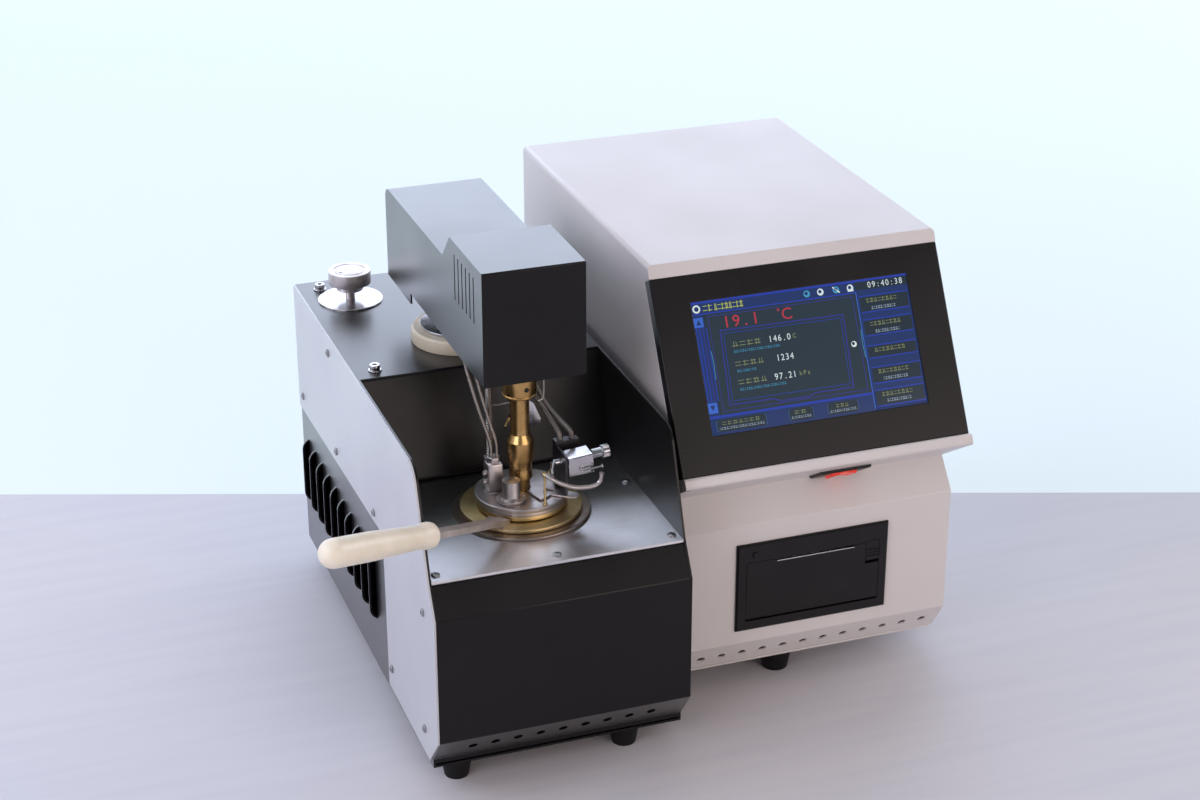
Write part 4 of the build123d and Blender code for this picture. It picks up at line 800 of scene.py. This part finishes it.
# ---- Control box
# White powder coated sheet: one cover for top and sides, a folded front with an overhanging lip, and a
# black frame round the sloping screen. To the eye a warm off-white that brightens at a glance.
white_powder_coat = powder_coat("white_powder_coat", "#DAD6D5", "#D1CDCC", 0.45, 0.22, 0.9, steep=0.87)
for node in ("control_cover", "control_front", "control_base"):
    dress(node, white_powder_coat)
    soften(node, 0.8)
# The frame's paint is smoother than the casing's coat: black with a clearer sheen.
black_frame_paint = powder_coat("black_frame_paint", "#151214", "#1E1B1F", 0.28, 0.3, 0.5)
dress("screen_frame", black_frame_paint)
soften("screen_frame", 0.6)
dress("touch_panel", black_abs)

# ---- Touch screen
# A seven inch colour display behind glass: slate fields with blue rules, white and red figures, and rows
# of plain marks where the labels stand. Its picture is a stack of thin printed shapes on the glass.
screen_corner = (32.6, 24.5, 165.2)
slope_y, slope_z = 0.4847, 0.8747
window_foot = 24.6
glass_recess = 1.5
film = 0.02
screen_width, screen_height = 154.1, 87.0


def on_screen(u, v, level):
    """A place on the glass, u right and v up in mm from the window's lower left, so many films up."""
    up = window_foot + v
    out = film + film * level - glass_recess
    return at(screen_corner[0] + u, screen_corner[1] + slope_y * up - slope_z * out,
              screen_corner[2] + slope_z * up + slope_y * out)


def display_glow(name, lit, deep):
    """Lit liquid crystal: cells 0.19 mm wide, drawn at 0.6 mm, and a backlight that fades in clouds."""
    material, tree, shader, place = start_material(name)
    cells = add(tree, "TexVoronoi", {"Vector": place, "Scale": 1700.0, "Randomness": 0.0},
                distance="CHEBYCHEV").outputs["Distance"]
    clouds = noise(tree, place, 18.0)
    share = add(tree, "Math", {0: between(tree, cells, 0, 0.5, 0.3, 0.6), 1: between(tree, clouds, 0, 0.5)})
    tree.links.new(mix_colours(tree, share.outputs[0], lit, deep), shader.inputs["Emission Color"])
    shader.inputs["Emission Strength"].default_value = 1.0
    shader.inputs["Base Color"].default_value = colour("#05060A")
    shader.inputs["Roughness"].default_value = 0.12
    return material


# Each tone of the display: the lit middle of a cell, and its deeper edge. They glow evenly, and the
# room is mirrored faintly over them.
display_tones = {
    "slate": ("#28333E", "#212C36"), "field": ("#2D3944", "#25313B"), "bar": ("#25386A", "#1F2F5C"),
    "blue": ("#2A41A8", "#223696"), "bright_blue": ("#3F6BC8", "#3258B4"), "violet": ("#35398A", "#2C3078"),
    "red": ("#C03A4C", "#A83042"), "yellow": ("#B9C45E", "#A2AC50"), "olive": ("#8D9566", "#7B8358"),
    "pale": ("#A3B4C6", "#8EA0B4"), "cyan": ("#4A9CC4", "#3D87AE"), "white": ("#DCE8EA", "#C6D4D8"),
}
tone_order = list(display_tones)
picture = bmesh.new()


def patch(points, tone, level):
    """A flat printed shape on the glass, from (u, v) points; a higher level lies over a lower one."""
    corners = [picture.verts.new(on_screen(u, v, level)) for u, v in points]
    picture.faces.new(corners).material_index = tone_order.index(tone)


def bar(left, low, right, high, tone, level=1):
    """An upright rectangle."""
    patch([(left, low), (right, low), (right, high), (left, high)], tone, level)


def rule(points, width, tone, level=2):
    """A line of one width through (u, v) points, with square ends."""
    for (u0, v0), (u1, v1) in zip(points, points[1:]):
        run = math.dist((u0, v0), (u1, v1))
        du, dv = (v0 - v1) / run * width / 2, (u1 - u0) / run * width / 2
        eu, ev = (u1 - u0) / run * width / 2, (v1 - v0) / run * width / 2
        patch([(u0 - eu - du, v0 - ev - dv), (u1 + eu - du, v1 + ev - dv),
               (u1 + eu + du, v1 + ev + dv), (u0 - eu + du, v0 - ev + dv)], tone, level)


def disc(u, v, radius, tone, level=2):
    """A round spot."""
    sides = 20
    patch([(u + radius * math.cos(2 * math.pi * i / sides), v + radius * math.sin(2 * math.pi * i / sides))
           for i in range(sides)], tone, level)


def figures(text, u, v, height, tone, pitch, squeeze=0.9):
    """Figures of a height in mm in cells of one pitch, from the font that comes with the program."""
    level = 3
    scale = height / 0.69
    for place, character in enumerate(text):
        curve = bpy.data.curves.new("figures", "FONT")
        curve.body = character
        curve.align_x = "CENTER"
        curve.resolution_u = 3
        holder = bpy.data.objects.new("figures", curve)
        bpy.context.scene.collection.objects.link(holder)
        flat = bpy.data.meshes.new_from_object(holder.evaluated_get(bpy.context.evaluated_depsgraph_get()))
        bpy.data.objects.remove(holder)
        first = len(picture.faces)
        picture.from_mesh(flat)
        picture.faces.ensure_lookup_table()
        for vert in {vert for face in picture.faces[first:] for vert in face.verts}:
            vert.co = on_screen(u + (place + 0.5) * pitch + vert.co.x * scale * squeeze,
                                v + vert.co.y * scale, level)
        for face in picture.faces[first:]:
            face.material_index = tone_order.index(tone)
        bpy.data.meshes.remove(flat)


def marks(left, low, right, height, tone, pitch, seed=1):
    """A row of small strokes that stands for a label, without letters."""
    cells = max(1, round((right - left) / pitch))
    for index in range(cells):
        u = left + index * (right - left) / cells
        wide = (right - left) / cells * 0.72
        kind = (index * 7 + seed * 5) % 4
        rule([(u, low + height * 0.15), (u + wide, low + height * 0.15)], height * 0.11, tone, 3)
        if kind != 1:
            rule([(u + wide * 0.3, low), (u + wide * 0.3, low + height)], height * 0.11, tone, 4)
        if kind != 2:
            rule([(u, low + height * 0.82), (u + wide, low + height * 0.82)], height * 0.1, tone, 3)
        if kind > 1:
            rule([(u + wide * 0.85, low), (u + wide * 0.7, low + height)], height * 0.1, tone, 4)


# The ground: title bar, left strip, the column of buttons at the right, foot bar and the main field.
menu_left = 116
bar(0, 0, screen_width, screen_height, "slate", 0)
bar(0, 79.3, menu_left, 86.0, "bar")
bar(0, 85.6, screen_width, screen_height, "blue", 2)
bar(0, 78.3, menu_left, 79.2, "blue", 2)
bar(0, 0, 7.6, 78.3, "bar")
bar(menu_left, 0, screen_width, 80, "bar")
bar(0, 0, screen_width, 11.8, "bar")
bar(0, 10.8, 116.5, 12.4, "blue", 2)
bar(8.6, 12.6, 115.2, 78.2, "field")
rule([(menu_left, 1.5), (menu_left, 79)], 0.6, "bright_blue")

# The left strip: two arrow keys and the rules between them.
for low, high in ((70.3, 76.6), (14.2, 21.0)):
    bar(0.4, low, 6.8, high, "bright_blue", 2)
patch([(1.8, 71.9), (5.4, 71.9), (3.6, 75.2)], "bar", 3)
patch([(1.8, 19.3), (3.6, 16.0), (5.4, 19.3)], "bar", 3)
for u, tone in ((1.4, "blue"), (3.6, "blue"), (5.9, "violet"), (8.2, "blue")):
    rule([(u, 22.0), (u, 69.4)], 0.7, tone)

# The field's frames, one in the other.
rule([(8.9, 36), (9.3, 45), (8.9, 54)], 0.35, "cyan", 3)
rule([(115.2, 36), (114.7, 45), (115.2, 54)], 0.35, "cyan", 3)
rule([(10.5, 14.6), (10.5, 76.6), (113.0, 76.6), (113.0, 14.6), (10.5, 14.6)], 0.5, "violet")
rule([(17.4, 66.6), (104.4, 65.6), (103.2, 17.6), (76.0, 17.6), (71.0, 15.8), (51.0, 15.8), (46.0, 17.9),
      (15.6, 18.1), (17.4, 66.6)], 0.9, "violet")
rule([(19.4, 64.4), (102.2, 63.6), (101.2, 20.0), (17.8, 20.4), (19.4, 64.4)], 0.35, "blue")

# The title bar: a ring, the title's marks, four small icons and the clock.
disc(3.6, 82.3, 2.7, "white")
disc(3.6, 82.3, 1.6, "bar", 3)
marks(8.2, 80.2, 15.2, 4.2, "yellow", 3.5)
marks(16.0, 80.2, 36.5, 4.0, "yellow", 2.6, 2)
for u, tone in ((81.4, "cyan"), (91.2, "white"), (102.4, "cyan"), (112.6, "white")):
    disc(u, 82.4, 2.3, tone)
    disc(u - 0.3, 82.7, 1.2, "bar", 3)
rule([(100.4, 84.2), (104.6, 80.6)], 0.8, "white", 3)
rule([(111.2, 80.6), (114.2, 80.6)], 1.2, "white", 3)
figures("09:40:38", 124.8, 80.9, 3.9, "white", 3.28)

# The readings: the sample's temperature in red, and three rows of a label, a value and its unit.
figures("19.1", 19.4, 68.0, 7.4, "red", 6.7, squeeze=1.05)
figures("C", 60.4, 68.0, 7.4, "red", 9.5, squeeze=1.05)
disc(59.6, 74.8, 0.9, "red", 3)
disc(59.6, 74.8, 0.45, "field", 4)
for v, value, left, unit, under in ((54.6, "146.0", 49.2, "C", 57.0), (41.8, "1234", 52.4, "", 38.0),
                                    (29.8, "97.21", 49.0, "kPa", 57.0)):
    figures(value, left, v, 4.1, "white", 3.25)
    figures(unit, 66.4, v + 0.6, 2.9, "olive", 2.9)
    marks(24.0, v + 0.4, 45.0, 3.2, "olive", 5.4, int(v))
    marks(24.4, v - 3.6, under, 1.6, "cyan", 1.5, 3)
disc(108.6, 45.4, 2.0, "white")
disc(108.2, 45.8, 1.1, "field", 3)

# The buttons: five at the right, with one or two rows of marks, and three in the foot bar.
for index, (v, lower) in enumerate(((71.2, 66.4), (55.6, 50.8), (38.2, None), (23.8, 19.3), (8.6, 4.6))):
    low = v - 5.8 if lower else v - 3.4
    bar(118.0, low, 152.6, v + 4.0, "slate", 2)
    rule([(118.0, low - 0.4), (152.6, low - 0.4)], 0.8, "blue", 2)
    rule([(118.0, v + 4.4), (152.6, v + 4.4)], 0.8, "blue", 2)
    marks(122.6, v, 145.2, 2.7, "olive", 2.8, index)
    if lower:
        marks(125.5, lower, 143.4, 2.0, "pale", 1.7, index + 2)
for left, right, wide in ((5.8, 37.4, 27.0), (56.4, 70.6, 9.0), (84.0, 102.8, 9.5)):
    bar(left - 2.4, 1.6, right + 2.4, 9.6, "slate", 2)
    middle = (left + right) / 2
    marks(middle - wide / 2, 5.9, middle + wide / 2, 2.3, "olive", 3.6, int(left))
    marks(left, 3.0, right, 1.6, "pale", 1.6, int(right))
    for u, turn in ((left - 1.6, 1), (right + 1.6, -1)):
        rule([(u + turn, 2.2), (u, 2.8), (u, 8.4), (u + turn, 9.0)], 0.25, "bright_blue", 3)

picture_mesh = bpy.data.meshes.new("screen_picture")
picture.to_mesh(picture_mesh)
picture.free()
display_glows = [display_glow("display_" + tone, lit, deep) for tone, (lit, deep) in display_tones.items()]
put_on("screen_picture", picture_mesh, "casing", display_glows, ())

# ---- Power rocker
# A translucent red rocker in a black snap-in bezel under the lip, lit from inside while the power is
# on: its own red glow keeps it bright in the lip's shadow.
dress("rocker_bezel", black_abs)
soften("rocker_bezel", 0.3)
red_rocker = moulded_plastic("red_rocker", "#D8161C", "#BC1016", 0.22)
lamp_behind = red_rocker.node_tree.nodes["Principled BSDF"].inputs
lamp_behind["Emission Color"].default_value = colour("#FF4A30")
lamp_behind["Emission Strength"].default_value = 0.3
dress("rocker_button", red_rocker)
soften("rocker_button", 0.5)

# ---- Panel printer
# A moulded black paper door with a sliding latch and a feed button; paper leaves by a slot above the
# door's stainless tear bar. The roll of thermal paper turns on its own spindle behind it.
for node in ("printer_housing", "printer_door", "printer_latch", "feed_button"):
    dress(node, black_abs)
soften("printer_housing", 0.3)
soften("printer_door", 0.25)
soften("feed_button", 0.2)
assemble("tear_bar", [block((83.1, 41.4, 83.5), (139.9, 41.9, 84.5), 0.12)], "printer_door",
         [polished_steel], ())
# Matt white, a little warm.
thermal_paper = moulded_plastic("thermal_paper", "#F0EFEA", "#E6E4DE", 0.7)
dress("paper_roll", thermal_paper)

# ---- Inside the control box
# A zinc plated power supply and a green circuit board stand on the base, the mains inlet is clipped into the
# rear, and a black mat behind the vents of the front paints the shade inside the box.
fold_y, fold_z = 43.85, 23.9
chamfer_y, chamfer_z = 0.5404, 0.8414


def behind_chamfer(x, along, inward):
    """A place in mm behind the vented chamfer: along it from its upper fold, and inward from its skin."""
    return (x, fold_y + chamfer_y * along + chamfer_z * inward,
            fold_z - chamfer_z * along + chamfer_y * inward)


# Painted shade: a near-black felt that swallows all light stands for the dark inside of the box, so that the
# vents read as holes.
vent_shade_felt = moulded_plastic("vent_shade_felt", "#0C0B0C", "#131214", 0.9, grain=1.5, level=0.15)
assemble("vent_shade_mat", [block((13, 4.5, 2.2), (206, 24.5, 3.4), 0.2, behind_chamfer)], "casing", [vent_shade_felt],
         ())
board_green = moulded_plastic("board_green", "#1E4A33", "#173B29", 0.4)
dress("main_board", board_green)
dress("power_supply", cast_zinc)
dress("power_inlet", black_abs)

# ---- Feet
# Turned black rubber feet with a screw well, four under the module and three larger ones under the
# box, and soft spacers between the two casings. To the eye a dull black with hardly a light in it.
black_rubber = moulded_plastic("black_rubber", "#0B0A0A", "#121011", 0.6, level=0.25)
foot_line = [(0, 0), (10, 0), (10, -2.0), (9.4, -4.0), (7.5, -16.0), (3.2, -16.0), (3.2, -12.0), (0, -12.0)]
module_feet = [(-150, 17), (-35, 17), (-150, 320), (-35, 320)]
box_feet = [(97.5, 72), (28, 320), (190, 320)]
feet = [turned([(radius * size, height) for radius, height in foot_line], (x, y, 0), sides=48, soft=0.8)
        for size, places in ((1.06, module_feet), (1.18, box_feet)) for x, y in places]
assemble("moulded_feet", feet, "casing", [black_rubber], ["rubber_feet"])
dress("module_spacers", black_rubber)
